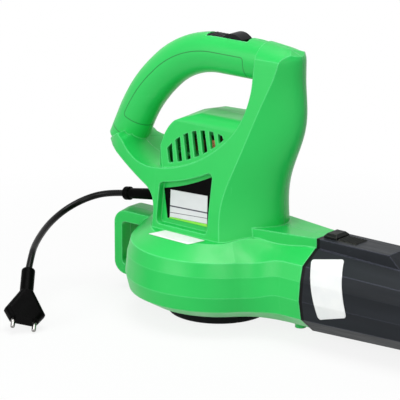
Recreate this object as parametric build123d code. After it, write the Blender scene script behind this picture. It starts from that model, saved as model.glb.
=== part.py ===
from build123d import *
import math
import os

os.makedirs("parts", exist_ok=True)

# Scroll housing and outlet duct: one twelve-sided section runs round the drum and out along the duct
SCROLL_RADIUS = 84.0
SCROLL_MID_HEIGHT = 47.0
DUCT_HALF_WIDTH = 39.3
DUCT_HALF_HEIGHT = 37.0
DUCT_CROWN_HALF_WIDTH = 16.5
# Half width and rise of the section's corners, from the sole to the crown
DUCT_CORNERS = (
    (19.0, -DUCT_HALF_HEIGHT),
    (36.0, -22.5),
    (DUCT_HALF_WIDTH, -5.0),
    (37.6, 12.0),
    (34.3, 25.5),
    (DUCT_CROWN_HALF_WIDTH, DUCT_HALF_HEIGHT),
)
DUCT_BLEND_RADIUS = 46.0
OUTLET_X = 119.8
WALL = 2.8

# Fairing on top of the duct that takes the hook of the tube's latch
RIDGE_RISE = 8.5
RIDGE_ROOF = 4.0
RIDGE_REAR_X = 40.0
RIDGE_HOLLOW_X = 92.0
RIDGE_REAR_HALF_WIDTH = 29.0
RIDGE_FRONT_HALF_WIDTH = 14.5

# Motor housing and front pillar
BODY_BASE_HALF_WIDTH = 44.5
SIDE_DRAFT = 0.163
TAIL_X = -130.0
TAIL_BEND_X = -42.0
TAIL_SHARE = 0.45
REAR_WALL_X = -41.0
PILLAR_INNER_X = 54.0
PILLAR_TOP_ROUND = 16.0
PILLAR_PROUD = 0.8
FRONT_LIMIT_X = 96.0
NOSE_FULLNESS = 0.42
BODY_BOTTOM = 70.0
# Height, side crease and nose of the pillar's plan
BODY_STATIONS = (
    (BODY_BOTTOM, 35.0, 70.0),
    (104.0, 33.5, 73.5),
    (128.0, 38.0, 75.0),
    (150.0, 46.2, 82.0),
    (168.0, 53.0, 89.5),
    (205.0, 67.0, 94.5),
    (230.0, 77.0, 92.5),
    (262.0, 82.0, 88.0),
)

# Side outline of the frame: rear edge, arm to the handle, trough in front of the handle, pillar
ARM_BEND_HEIGHT = 109.0
ARM_TIP = (-112.0, ARM_BEND_HEIGHT + 34.0)
ARM_BEND_RADIUS = 22.0
TROUGH_START = (-97.0, ARM_BEND_HEIGHT + 48.0)
TROUGH_SIDE = (-78.0, ARM_BEND_HEIGHT + 29.5)
TROUGH_LOW = (-49.5, ARM_BEND_HEIGHT + 22.3)
TROUGH_RISE = (31.0, 165.7)
PILLAR_HEAD_HEIGHT = 224.5

# Handle
GRIP_HALF_DEPTH = 18.0
GRIP_HALF_WIDTH = 16.2
GRIP_HEIGHT = 236.3
GRIP_SHOULDER_X = -33.0
GRIP_ELBOW = (-84.2, 188.5)
GRIP_ROOT = (-112.0, 130.0)
GRIP_FRONT_X = 81.0
GRIP_ELBOW_RADIUS = 140.0
GRIP_SHOULDER_RADIUS = 95.0

# Motor dome with its vents
DOME_STEP = 2.0
DOME_TOP = 185.0
DOME_HIP = (-48.5, 131.0)
DOME_KNEE = (-39.0, 160.0)
DOME_BROW = (-16.0, 182.5)
DOME_REAR_RADIUS = 20.0
DOME_FRONT_X = 42.0
DOME_EDGE_RADIUS = 11.0
DOME_FOOT = 122.0
VENT_COUNT = 7
VENT_FIRST_X = -29.5
VENT_PITCH = 9.0
VENT_WIDTH = 5.0
VENT_LEAN = 14.0
VENT_MARGIN = 4.4
VENT_PEAK = (12.0, 172.3)
VENT_ARCH_RADIUS = 58.0
VENT_INNER_Y = 17.0

# Recess for the rating plate, one on each side
RECESS_DEPTH = 6.5
RECESS_CORNER = 4.0
RECESS_LOW = 88.0
RECESS_REAR_X = -36.5
RECESS_REAR_TOP = 120.0
RECESS_MIDDLE = (-7.0, 127.0)
RECESS_FRONT_X = 21.5
RECESS_FRONT_TOP = 139.0

# Rear loop and front foot
LOOP_REAR_X = -113.5
LOOP_TOP = 77.0
LOOP_BOTTOM = 14.0
LOOP_HALF_WIDTH = 12.3
LOOP_POST = 9.0
LOOP_BAR = 10.5
LOOP_CORNER = 13.0
FOOT_X = 92.5
FOOT_RADIUS = 5.0
FOOT_LIFT = 2.5

# Mains lead: boss in the rear wall, tapered sleeve, cord and plug
CORD_EXIT_HEIGHT = 98.3
CORD_TILT = 9.0
CORD_DIAMETER = 6.0
BOSS_RADIUS = 9.0
BOSS_LENGTH = 13.0
BOSS_TAPER = 1.0
BOSS_INSIDE = 8.0
SLEEVE_RADIUS = 6.0
SLEEVE_TIP_RADIUS = 4.7
SLEEVE_LENGTH = 70.0
COLLAR_RADIUS = 6.2
COLLAR_WIDTH = 6.0
COLLAR_ROUND = 0.8
FLANGE_RADIUS = 8.5
FLANGE_THICKNESS = 2.5
FLANGE_SET_IN = 6.0
CORD_ROUTE = (
    (-131.2, 0.0, 84.06),
    (-149.2, -8.8, 77.9),
    (-158.8, -26.5, 69.8),
    (-155.5, -50.5, 62.5),
    (-144.5, -76.0, 60.0),
    (-130.1, -106.8, 60.0),
    (-116.9, -124.5, 43.0),
)
PLUG_SLEEVE_LENGTH = 25.0
PLUG_SLEEVE_RADIUS = 6.1
PLUG_SLEEVE_ROUND = 1.6
PLUG_LENGTH = 29.0
PLUG_WIDEST = 0.72
PLUG_HALF_WIDTH = 18.2
PLUG_NECK_HALF_WIDTH = 6.4
PLUG_FACE_HALF_WIDTH = 13.0
PLUG_HALF_THICKNESS = 6.8
PLUG_SIDEWAYS = (0.65, 0.715, -0.25)
PIN_SPACING = 19.0
PIN_RADIUS = 2.0
PIN_LENGTH = 9.0

# Slide switch on the handle
SWITCH_REAR_X = -8.5
SWITCH_LENGTH = 39.0
SWITCH_HALF_WIDTH = 7.1
SWITCH_TRAVEL = 6.0
SWITCH_GAP = 0.4
SWITCH_SINK = 7.3
SWITCH_FLOOR_WALL = 3.5
SWITCH_PLATE = 5.0
SWITCH_HUMP = 4.4
SWITCH_HUMP_LENGTH = 21.0
SWITCH_RIBS = 5
STEM_LENGTH = 8.0
STEM_HALF_WIDTH = 2.0
STEM_REACH = 3.0
SWITCH_BODY_LENGTH = 30.0
SWITCH_BODY_HALF_WIDTH = 8.0
SWITCH_BODY_HEIGHT = 18.0

# Fits
FIT = 0.3
RUNNING_FIT = 0.05
SCREW_FIT = 0.1

# Blow tube, its ridge and the nozzle
TUBE_WALL = 2.2
SPIGOT_LENGTH = 28.0
TUBE_LENGTH = 310.0
TUBE_END_SHARE = 0.76
TUBE_RIDGE_LENGTH = 90.0
TUBE_RIDGE_SLOPE = 14.0
NOZZLE_LENGTH = 290.0
NOZZLE_SPIGOT = 26.0
NOZZLE_WIDTH_SHARE = 0.80
NOZZLE_HEIGHT_SHARE = 0.40

# Release button of the tube
BUTTON_START = 3.5
BUTTON_LENGTH = 34.0
BUTTON_HALF_WIDTH = 9.0
BUTTON_THICKNESS = 3.0
BUTTON_GAP = 0.5
BUTTON_BLOCK_LENGTH = 13.5
BUTTON_BLOCK_RISE = 4.5
BUTTON_RIBS = 7
BUTTON_RIB_WIDTH = 1.4
BUTTON_PIVOT_SETBACK = 3.5
BUTTON_PIVOT_DROP = 4.0
BUTTON_LUG_RADIUS = 3.0
RELEASE_PIN_RADIUS = 1.5
RELEASE_PIN_HALF_LENGTH = 13.6
TONGUE_HALF_WIDTH = 6.0
TONGUE_THICKNESS = 2.0
TONGUE_REACH = 14.5
HOOK_LENGTH = 4.0
HOOK_RISE = 1.8
SPRING_X = 15.5
SPRING_HALF_LENGTH = 8.0
SPRING_HALF_WIDTH = 4.0
SPRING_GAUGE = 0.6

# Fan chamber: intake, grille and impeller
INTAKE_RADIUS = 38.0
GRILLE_RADIUS = 46.0
GRILLE_RIM = 6.0
GRILLE_PLATE = 2.4
GRILLE_HUB_RADIUS = 11.0
GRILLE_RING_RADIUS = 25.0
GRILLE_BAR = 2.4
GRILLE_SPOKES = 12
GRILLE_SCREW_RADIUS = 42.0
GRILLE_SCREW_ANGLES = (90, 210, 330)
GRILLE_BOSS_RADIUS = 4.2
GRILLE_BOSS_HEIGHT = 8.0
GRILLE_SCREW_SHANK = 1.5
GRILLE_SCREW_HEAD = 2.8
GRILLE_SCREW_HEAD_HEIGHT = 1.8
GRILLE_SCREW_REACH = 8.0
GRILLE_SCREW_SEAT = 5.0
FAN_RADIUS = 60.0
FAN_EYE_RADIUS = 20.0
FAN_TOP = 66.0
FAN_PLATE = 2.6
FAN_BLADE_HEIGHT = 30.0
FAN_BLADE_TIP_HEIGHT = 20.0
FAN_BLADES = 9
FAN_BLADE_THICKNESS = 2.0
FAN_BLADE_SWEEP = 38.0
FAN_BLADE_BELLY = 0.35
FAN_HUB_RADIUS = 11.0
FAN_HUB_BOTTOM = 40.0
NUT_ACROSS = 13.0
NUT_HEIGHT = 6.5
WASHER_RADIUS = 8.5
WASHER_THICKNESS = 1.5

# Motor
SHAFT_RADIUS = 4.0
SHAFT_BOTTOM = 30.0
SHAFT_TOP = 176.0
SHAFT_SHOULDER_RADIUS = 6.0
SHAFT_CLEARANCE = 1.0
BEARING_RADIUS = 11.0
BEARING_WIDTH = 7.0
UPPER_BEARING_RADIUS = 9.5
UPPER_BEARING_WIDTH = 6.0
UPPER_BEARING_BOTTOM = 167.0
BEARING_CUP = 3.5
STATOR_RADIUS = 29.0
STATOR_HALF_WIDTH = 25.8
STATOR_BOTTOM = 98.0
STATOR_HEIGHT = 38.0
STATOR_YOKE = 5.0
STATOR_POLE_HALF_ANGLE = 52.0
ARMATURE_RADIUS = 16.5
AIR_GAP = 0.6
ARMATURE_SLOTS = 12
ARMATURE_SLOT_DEPTH = 6.0
ARMATURE_SLOT_WIDTH = 2.6
WINDING_RADIUS = 14.5
WINDING_HEIGHT = 5.0
COMMUTATOR_RADIUS = 10.5
COMMUTATOR_BOTTOM = 145.0
COMMUTATOR_HEIGHT = 14.0
COMMUTATOR_FLANGE = 1.8
COIL_OVERHANG = 5.0
COIL_CLEAR_ANGLE = 2.0
SHELF_THICKNESS = 3.0
SHELF_FRONT_X = 38.0
STATOR_RING_HEIGHT = 115.0
BRUSH_SHELF_TOP = 144.0
BRUSH_SHELF_BORE = 15.0
BRUSH_WIDTH = 6.0
BRUSH_HEIGHT = 8.0
BRUSH_LENGTH = 9.0
BRUSH_HOLDER_WALL = 1.2
BRUSH_HOLDER_LENGTH = 17.0
BRUSH_HOLDER_SET_BACK = 2.5
BRUSH_GAP = 0.3

# Housing screws: place in the side view, seat of the head, and reach of the rib that holds the post
POST_SCREWS = (
    (70.0, 216.0, 14.0, 20.0, 0.0),
    (64.0, 168.0, 20.0, 20.0, 0.0),
    (46.0, 101.0, 22.0, 0.0, -20.0),
    (-62.0, 208.5, 7.0, 0.0, 20.0),
)
LOOP_SCREW_X = -98.0
LOOP_SCREW_SEAT = 6.0
SCREW_RADIUS = 1.9
SCREW_HEAD_RADIUS = 3.4
SCREW_HEAD_HEIGHT = 2.4
SCREW_REACH = 9.0
SCREW_BOSS_RADIUS = 5.2

HIDDEN_DEPTH = 70.0
DECK = SCROLL_MID_HEIGHT + DUCT_HALF_HEIGHT
BASE = SCROLL_MID_HEIGHT - DUCT_HALF_HEIGHT
RIDGE_TOP = DECK + RIDGE_RISE
GRIP_TOP = GRIP_HEIGHT + GRIP_HALF_DEPTH
PILLAR_TOP = GRIP_TOP + PILLAR_PROUD
SWITCH_FLOOR = GRIP_TOP - SWITCH_SINK
PILLAR_HEAD = (PILLAR_INNER_X, PILLAR_HEAD_HEIGHT)
TONGUE_TOP = RIDGE_TOP - RIDGE_ROOF - FIT
HOOK_TOP = TONGUE_TOP + HOOK_RISE
HOOK_X = OUTLET_X - TONGUE_REACH


def side_half_width(height):
    """Half width of the motor housing, which narrows upwards."""
    return BODY_BASE_HALF_WIDTH - SIDE_DRAFT * (height - DECK)


def block(x_from, x_to, half_width, z_from, z_to):
    """Box across the middle plane."""
    return Pos((x_from + x_to) / 2, 0, (z_from + z_to) / 2) * Box(x_to - x_from, 2 * half_width, z_to - z_from)


def upright(radius, z_from, z_to, x=0.0, y=0.0):
    """Cylinder that stands on its end."""
    return Pos(x, y, (z_from + z_to) / 2) * Cylinder(radius, z_to - z_from)


def crosswise(radius, y_from, y_to, x, z):
    """Cylinder that lies across the middle plane."""
    return Pos(x, (y_from + y_to) / 2, z) * Rot(90, 0, 0) * Cylinder(radius, y_to - y_from)


def slab(outline, half_width=HIDDEN_DEPTH):
    """Side outline drawn out to both sides."""
    return extrude(Plane.XZ * outline, half_width, both=True)


def section_corners(inset=0.0, wide=1.0, tall=1.0):
    """Half width and rise of the section's corners, from the bottom to the top."""
    wide = (DUCT_HALF_WIDTH * wide - inset) / DUCT_HALF_WIDTH
    tall = (DUCT_HALF_HEIGHT * tall - inset) / DUCT_HALF_HEIGHT
    return [(half * wide, rise * tall) for half, rise in DUCT_CORNERS]


def scroll_plan(half_width, end_x):
    """Plan of the drum and its duct where the section is half_width wide."""
    step_in = DUCT_HALF_WIDTH - half_width
    drum = SCROLL_RADIUS - step_in
    blend = DUCT_BLEND_RADIUS + step_in
    blend_y = DUCT_HALF_WIDTH + DUCT_BLEND_RADIUS
    blend_x = math.sqrt((SCROLL_RADIUS + DUCT_BLEND_RADIUS) ** 2 - blend_y ** 2)
    turn = math.atan2(blend_y, blend_x)
    half_way = (2.5 * math.pi + turn) / 2
    touch = Vector(drum * math.cos(turn), drum * math.sin(turn))
    middle = Vector(blend_x + blend * math.cos(half_way), blend_y + blend * math.sin(half_way))
    touch_near = Vector(touch.X, -touch.Y)
    middle_near = Vector(middle.X, -middle.Y)
    return make_face([
        Line((end_x, -half_width), (end_x, half_width)),
        Line((end_x, half_width), (blend_x, half_width)),
        ThreePointArc((blend_x, half_width), middle, touch),
        ThreePointArc(touch, (-drum, 0), touch_near),
        ThreePointArc(touch_near, middle_near, (blend_x, -half_width)),
        Line((blend_x, -half_width), (end_x, -half_width)),
    ])


def scroll(inset, end_x):
    """Drum with its duct, as a stack of tapered bands."""
    return loft([
        Pos(0, 0, SCROLL_MID_HEIGHT + rise) * scroll_plan(half, end_x)
        for half, rise in section_corners(inset)
    ], ruled=True)


def ridge(inset, roof, start_x, end_x):
    """Fairing that narrows from the pillar to the outlet."""
    slope = (RIDGE_FRONT_HALF_WIDTH - RIDGE_REAR_HALF_WIDTH) / (OUTLET_X - RIDGE_REAR_X)
    rear = RIDGE_REAR_HALF_WIDTH + slope * (start_x - RIDGE_REAR_X) - inset
    front = RIDGE_FRONT_HALF_WIDTH - inset
    plan = make_face(Polyline((start_x, -rear), (end_x, -front), (end_x, front), (start_x, rear), close=True))
    foot = DECK - 2 * WALL
    return Pos(0, 0, foot) * extrude(plan, RIDGE_TOP - roof - foot)


def body_plan(height, crease_x, nose_x, inset):
    """Plan of the motor housing: pointed nose, flat sides, tail drawn in towards the handle."""
    half = side_half_width(height) - inset
    tail_half = TAIL_SHARE * side_half_width(height) - inset
    tip = nose_x - inset
    full = NOSE_FULLNESS * half
    return Pos(0, 0, height) * make_face([
        Line((TAIL_X, -tail_half), (TAIL_X, tail_half)),
        TangentArc((TAIL_BEND_X, half), (TAIL_X, tail_half), tangent=(-1, 0)),
        Line((TAIL_BEND_X, half), (crease_x, half)),
        Bezier((crease_x, half), (tip, full), (tip, 0)),
        Bezier((tip, 0), (tip, -full), (crease_x, -half)),
        Line((crease_x, -half), (TAIL_BEND_X, -half)),
        TangentArc((TAIL_BEND_X, -half), (TAIL_X, -tail_half), tangent=(-1, 0)),
    ])


def crown(inset):
    """Cross-section of the body with its rounded top, run along its length."""
    half_low = side_half_width(BODY_BOTTOM) - inset
    half_high = side_half_width(GRIP_HEIGHT) - inset
    outline = make_face([
        Line((-half_low, BODY_BOTTOM), (half_low, BODY_BOTTOM)),
        Line((half_low, BODY_BOTTOM), (half_high, GRIP_HEIGHT)),
        EllipticalCenterArc((0, GRIP_HEIGHT), half_high, PILLAR_TOP - GRIP_HEIGHT - inset, arc_size=180),
        Line((-half_high, GRIP_HEIGHT), (-half_low, BODY_BOTTOM)),
    ])
    return extrude(Plane.YZ.offset(TAIL_X) * outline, OUTLET_X - TAIL_X)


def frame_outline():
    """Side view of the frame: trough, pillar, rear edge and arm."""
    trough = ThreePointArc(TROUGH_START, TROUGH_SIDE, TROUGH_LOW)
    rise = TangentArc(TROUGH_LOW, TROUGH_RISE, tangent=trough % 1)
    inner = TangentArc(TROUGH_RISE, PILLAR_HEAD, tangent=rise % 1)
    edge = Polyline(
        PILLAR_HEAD,
        (PILLAR_INNER_X, PILLAR_TOP),
        (FRONT_LIMIT_X, PILLAR_TOP),
        (FRONT_LIMIT_X, BODY_BOTTOM),
        (REAR_WALL_X, BODY_BOTTOM),
        (REAR_WALL_X, ARM_BEND_HEIGHT),
        ARM_TIP,
        TROUGH_START,
    )
    outline = make_face([trough, rise, inner, edge])
    corner = outline.vertices().sort_by_distance((REAR_WALL_X, ARM_BEND_HEIGHT))[0]
    outline = fillet(corner, ARM_BEND_RADIUS)
    brow = outline.vertices().sort_by_distance((FRONT_LIMIT_X, PILLAR_TOP))[0]
    return fillet(brow, PILLAR_TOP_ROUND)


def frame_body(inset):
    """Motor housing with the pillar and the arm, without dome and handle."""
    outline = frame_outline()
    if inset:
        outline = offset(outline, amount=-inset)
    nose = loft([body_plan(*station, inset) for station in BODY_STATIONS])
    return slab(outline) & nose & crown(inset)


def below_arm(inset):
    """Space under the slanting underside of the arm."""
    slope = (ARM_TIP[1] - ARM_BEND_HEIGHT) / (ARM_TIP[0] - REAR_WALL_X)
    far_x = 1.5 * TAIL_X
    lift = inset / math.cos(math.atan(slope))
    return slab(make_face(Polyline(
        (REAR_WALL_X, ARM_BEND_HEIGHT + lift),
        (far_x, ARM_BEND_HEIGHT + lift + slope * (far_x - REAR_WALL_X)),
        (far_x, BODY_BOTTOM),
        (REAR_WALL_X, BODY_BOTTOM),
        close=True,
    )))


def grip_path():
    """Centre line of the handle."""
    return FilletPolyline(
        (GRIP_ROOT[0], 0, GRIP_ROOT[1]),
        (GRIP_ELBOW[0], 0, GRIP_ELBOW[1]),
        (GRIP_SHOULDER_X, 0, GRIP_HEIGHT),
        (GRIP_FRONT_X, 0, GRIP_HEIGHT),
        radius=[GRIP_ELBOW_RADIUS, GRIP_SHOULDER_RADIUS],
    )


def grip(inset):
    """Oval bar of the handle, cut off under the arm."""
    path = grip_path()
    start = Plane(origin=path @ 0, x_dir=(0, 1, 0), z_dir=path % 0)
    bar = sweep(start * Ellipse(GRIP_HALF_WIDTH - inset, GRIP_HALF_DEPTH - inset), path=path)
    return bar - below_arm(inset)


def dome(inset):
    """Rounded cover over the motor, set in from the sides of the housing."""
    arc = TangentArc(DOME_KNEE, DOME_BROW, tangent=(DOME_KNEE[0] - DOME_HIP[0], DOME_KNEE[1] - DOME_HIP[1]))
    roof = TangentArc(DOME_BROW, (DOME_FRONT_X, DOME_TOP), tangent=arc % 1)
    outline = make_face([
        Polyline((DOME_HIP[0], DOME_FOOT), DOME_HIP, DOME_KNEE),
        arc,
        roof,
        Polyline((DOME_FRONT_X, DOME_TOP), (DOME_FRONT_X, DOME_FOOT), (DOME_HIP[0], DOME_FOOT)),
    ])
    half_low = side_half_width(DOME_FOOT) - DOME_STEP - inset
    half_high = side_half_width(DOME_TOP) - DOME_STEP - inset
    across = make_face(Polyline(
        (-half_low, DOME_FOOT), (half_low, DOME_FOOT), (half_high, DOME_TOP - inset), (-half_high, DOME_TOP - inset),
        close=True,
    ))
    across = fillet(across.vertices().group_by(Axis.Y)[-1], DOME_EDGE_RADIUS - inset)
    plan = make_face(Polyline(
        (DOME_HIP[0] + inset, -half_low), (DOME_FRONT_X, -half_low),
        (DOME_FRONT_X, half_low), (DOME_HIP[0] + inset, half_low),
        close=True,
    ))
    plan = fillet(plan.vertices().group_by(Axis.X)[0], DOME_REAR_RADIUS - inset)
    if inset:
        outline = offset(outline, amount=-inset)
    return (
        slab(outline)
        & extrude(Plane.YZ.offset(TAIL_X) * across, OUTLET_X - TAIL_X)
        & Pos(0, 0, BODY_BOTTOM) * extrude(plan, GRIP_TOP - BODY_BOTTOM)
    )


def wedge(depth):
    """Everything between the two drafted sides, each moved in by depth."""
    half_low = side_half_width(BODY_BOTTOM) - depth
    half_high = side_half_width(GRIP_TOP) - depth
    across = make_face(Polyline(
        (-half_low, BODY_BOTTOM), (half_low, BODY_BOTTOM), (half_high, GRIP_TOP), (-half_high, GRIP_TOP),
        close=True,
    ))
    return extrude(Plane.YZ.offset(TAIL_X) * across, OUTLET_X - TAIL_X)


def plate_recess(grow, depth):
    """Pocket in both sides for the rating plate."""
    window = make_face([
        Polyline(
            (RECESS_FRONT_X, RECESS_FRONT_TOP), (RECESS_FRONT_X, RECESS_LOW),
            (RECESS_REAR_X, RECESS_LOW), (RECESS_REAR_X, RECESS_REAR_TOP),
        ),
        ThreePointArc((RECESS_REAR_X, RECESS_REAR_TOP), RECESS_MIDDLE, (RECESS_FRONT_X, RECESS_FRONT_TOP)),
    ])
    window = fillet(window.vertices(), RECESS_CORNER)
    if grow:
        window = offset(window, amount=grow)
    return slab(window) - wedge(depth)


def vents():
    """Leaning slots in both sides of the dome, between the trough and a shallow arch."""
    trough = ThreePointArc(TROUGH_START, TROUGH_SIDE, TROUGH_LOW)
    rise = TangentArc(TROUGH_LOW, TROUGH_RISE, tangent=trough % 1)
    centre = rise.arc_center
    lean = math.tan(math.radians(VENT_LEAN))

    def low_edge(x):
        return centre.Y - math.sqrt(rise.radius ** 2 - (x - centre.X) ** 2) + VENT_MARGIN

    def high_edge(x):
        return VENT_PEAK[1] - VENT_ARCH_RADIUS + math.sqrt(VENT_ARCH_RADIUS ** 2 - (x - VENT_PEAK[0]) ** 2)

    slots = Sketch()
    for index in range(VENT_COUNT):
        left = VENT_FIRST_X + index * VENT_PITCH - VENT_WIDTH / 2
        right = left + VENT_WIDTH
        shift = lean * (high_edge(left) - low_edge(left)) / 2
        slots += make_face(Polyline(
            (left + shift, low_edge(left + shift)), (right + shift, low_edge(right + shift)),
            (right - shift, high_edge(right - shift)), (left - shift, high_edge(left - shift)),
            close=True,
        ))
    return slab(slots) - slab(Rectangle(2 * HIDDEN_DEPTH, 2 * GRIP_TOP), VENT_INNER_Y)


def rear_loop():
    """Hanging loop behind the drum."""
    root_x = 1 - SCROLL_RADIUS + (DUCT_HALF_WIDTH - DUCT_CROWN_HALF_WIDTH)
    outer = make_face(Polyline(
        (root_x, LOOP_BOTTOM), (LOOP_REAR_X, LOOP_BOTTOM), (LOOP_REAR_X, LOOP_TOP), (root_x, LOOP_TOP), close=True,
    ))
    inner = make_face(Polyline(
        (root_x, LOOP_BOTTOM + LOOP_BAR), (LOOP_REAR_X + LOOP_POST, LOOP_BOTTOM + LOOP_BAR),
        (LOOP_REAR_X + LOOP_POST, LOOP_TOP - LOOP_BAR), (root_x, LOOP_TOP - LOOP_BAR),
        close=True,
    ))
    outer = fillet(outer.vertices().group_by(Axis.X)[0], LOOP_CORNER)
    inner = fillet(inner.vertices().group_by(Axis.X)[0], LOOP_CORNER - LOOP_POST)
    return slab(outer - inner, LOOP_HALF_WIDTH)


CORD_DIRECTION = Vector(-math.cos(math.radians(CORD_TILT)), 0, -math.sin(math.radians(CORD_TILT)))
CORD_EXIT = Vector(REAR_WALL_X, 0, CORD_EXIT_HEIGHT)


def along_cord(start, end, radius, end_radius=None):
    """Round piece on the line on which the cord leaves the rear wall."""
    plane = Plane(origin=CORD_EXIT + CORD_DIRECTION * start, z_dir=CORD_DIRECTION)
    if end_radius is None:
        return extrude(plane * Circle(radius), end - start)
    tip = Plane(origin=CORD_EXIT + CORD_DIRECTION * end, x_dir=plane.x_dir, z_dir=CORD_DIRECTION)
    return loft([plane * Circle(radius), tip * Circle(end_radius)])


SWITCH_RECESS = (
    SWITCH_REAR_X - SWITCH_GAP,
    SWITCH_REAR_X + SWITCH_LENGTH + SWITCH_TRAVEL + SWITCH_GAP,
)
SWITCH_BAY_HALF_WIDTH = SWITCH_HALF_WIDTH + SWITCH_GAP
SWITCH_UNDERSIDE = SWITCH_FLOOR - SWITCH_FLOOR_WALL
STEM_X = SWITCH_REAR_X + SWITCH_LENGTH / 2
STEM_SLOT = (STEM_X - STEM_LENGTH / 2 - SWITCH_GAP, STEM_X + STEM_LENGTH / 2 + SWITCH_TRAVEL + SWITCH_GAP)
SWITCH_BODY_X = (STEM_SLOT[0] + STEM_SLOT[1]) / 2


def housing_outside():
    """Both halves together, before they are hollowed."""
    shape = scroll(0, OUTLET_X) + ridge(0, 0, RIDGE_REAR_X, OUTLET_X)
    shape += frame_body(0)
    shape += dome(0)
    shape += grip(0)
    shape += rear_loop()
    shape += upright(FOOT_RADIUS, FOOT_LIFT, BASE + WALL, FOOT_X)
    shape += along_cord(-WALL, BOSS_LENGTH, BOSS_RADIUS, BOSS_RADIUS - BOSS_TAPER)
    return shape


def motor_space():
    """Hollow above the deck: motor housing, dome, pillar and handle."""
    space = frame_body(WALL) + dome(WALL)
    space -= plate_recess(WALL, RECESS_DEPTH + WALL)
    space &= block(TAIL_X, OUTLET_X, HIDDEN_DEPTH, DECK, GRIP_TOP)
    handle = grip(WALL)
    handle -= block(
        SWITCH_RECESS[0] - WALL, SWITCH_RECESS[1] + WALL, SWITCH_BAY_HALF_WIDTH + WALL, SWITCH_UNDERSIDE, GRIP_TOP,
    )
    return space + handle


def fan_space():
    """Hollow of the drum and its duct, open at the outlet, with the pocket under the fairing."""
    return scroll(WALL, OUTLET_X + WALL) + ridge(WALL, RIDGE_ROOF, RIDGE_HOLLOW_X, OUTLET_X + WALL)


def inner_ribs():
    """Shelves, bearing cups and screw posts that stand inside the motor space."""
    stator_shelf = block(TAIL_X, SHELF_FRONT_X, HIDDEN_DEPTH, STATOR_BOTTOM - SHELF_THICKNESS, STATOR_BOTTOM)
    stator_shelf -= upright(STATOR_RADIUS - SHELF_THICKNESS, DECK, GRIP_TOP)
    stator_ring = block(TAIL_X, SHELF_FRONT_X, HIDDEN_DEPTH, STATOR_RING_HEIGHT - SHELF_THICKNESS, STATOR_RING_HEIGHT)
    stator_ring -= upright(STATOR_RADIUS + FIT, DECK, GRIP_TOP)
    ribs = stator_shelf + stator_ring
    for top, bore in ((BRUSH_SHELF_TOP, BRUSH_SHELF_BORE), (UPPER_BEARING_BOTTOM + SHELF_THICKNESS, BEARING_RADIUS)):
        shelf = block(TAIL_X, SHELF_FRONT_X, VENT_INNER_Y - SHELF_THICKNESS, top - SHELF_THICKNESS, top)
        shelf += block(SHELF_FRONT_X - 2 * SHELF_THICKNESS, SHELF_FRONT_X, HIDDEN_DEPTH, top - SHELF_THICKNESS, top)
        ribs += shelf - upright(bore, DECK, GRIP_TOP)
    cup_top = UPPER_BEARING_BOTTOM + UPPER_BEARING_WIDTH
    ribs += upright(UPPER_BEARING_RADIUS + BEARING_CUP, UPPER_BEARING_BOTTOM - SHELF_THICKNESS, cup_top)
    ribs -= upright(UPPER_BEARING_RADIUS + RUNNING_FIT, UPPER_BEARING_BOTTOM, cup_top)
    ribs -= upright(SHAFT_RADIUS + BEARING_CUP, UPPER_BEARING_BOTTOM - SHELF_THICKNESS, UPPER_BEARING_BOTTOM)
    ribs += upright(BEARING_RADIUS + BEARING_CUP, DECK, DECK + BEARING_WIDTH)
    ribs -= upright(BEARING_RADIUS + RUNNING_FIT, DECK, DECK + BEARING_WIDTH)
    ribs += along_cord(-BOSS_INSIDE, 0, BOSS_RADIUS + WALL)
    for end in (-1, 1):
        cradle_x = SWITCH_BODY_X + end * SWITCH_BODY_LENGTH / 4
        ribs += block(
            cradle_x - WALL / 2, cradle_x + WALL / 2, GRIP_HALF_WIDTH,
            GRIP_HEIGHT - GRIP_HALF_DEPTH, SWITCH_UNDERSIDE - SWITCH_BODY_HEIGHT,
        )
    for x, z, seat, rib_x, rib_z in POST_SCREWS:
        ribs += crosswise(SCREW_BOSS_RADIUS, -SCREW_REACH - WALL, HIDDEN_DEPTH, x, z)
        rib = Box(abs(rib_x) or WALL, SCREW_REACH + seat, abs(rib_z) or WALL)
        ribs += Pos(x + rib_x / 2, (seat - SCREW_REACH) / 2, z + rib_z / 2) * rib
    return ribs


def screw_places():
    """Side-view place and head seat of each housing screw."""
    places = [post[:3] for post in POST_SCREWS]
    for height in (LOOP_TOP - LOOP_BAR / 2, LOOP_BOTTOM + LOOP_BAR / 2):
        places.append((LOOP_SCREW_X, height, LOOP_SCREW_SEAT))
    return places


def grille_screw_places():
    return [
        (GRILLE_SCREW_RADIUS * math.cos(math.radians(angle)), GRILLE_SCREW_RADIUS * math.sin(math.radians(angle)))
        for angle in GRILLE_SCREW_ANGLES
    ]


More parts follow.
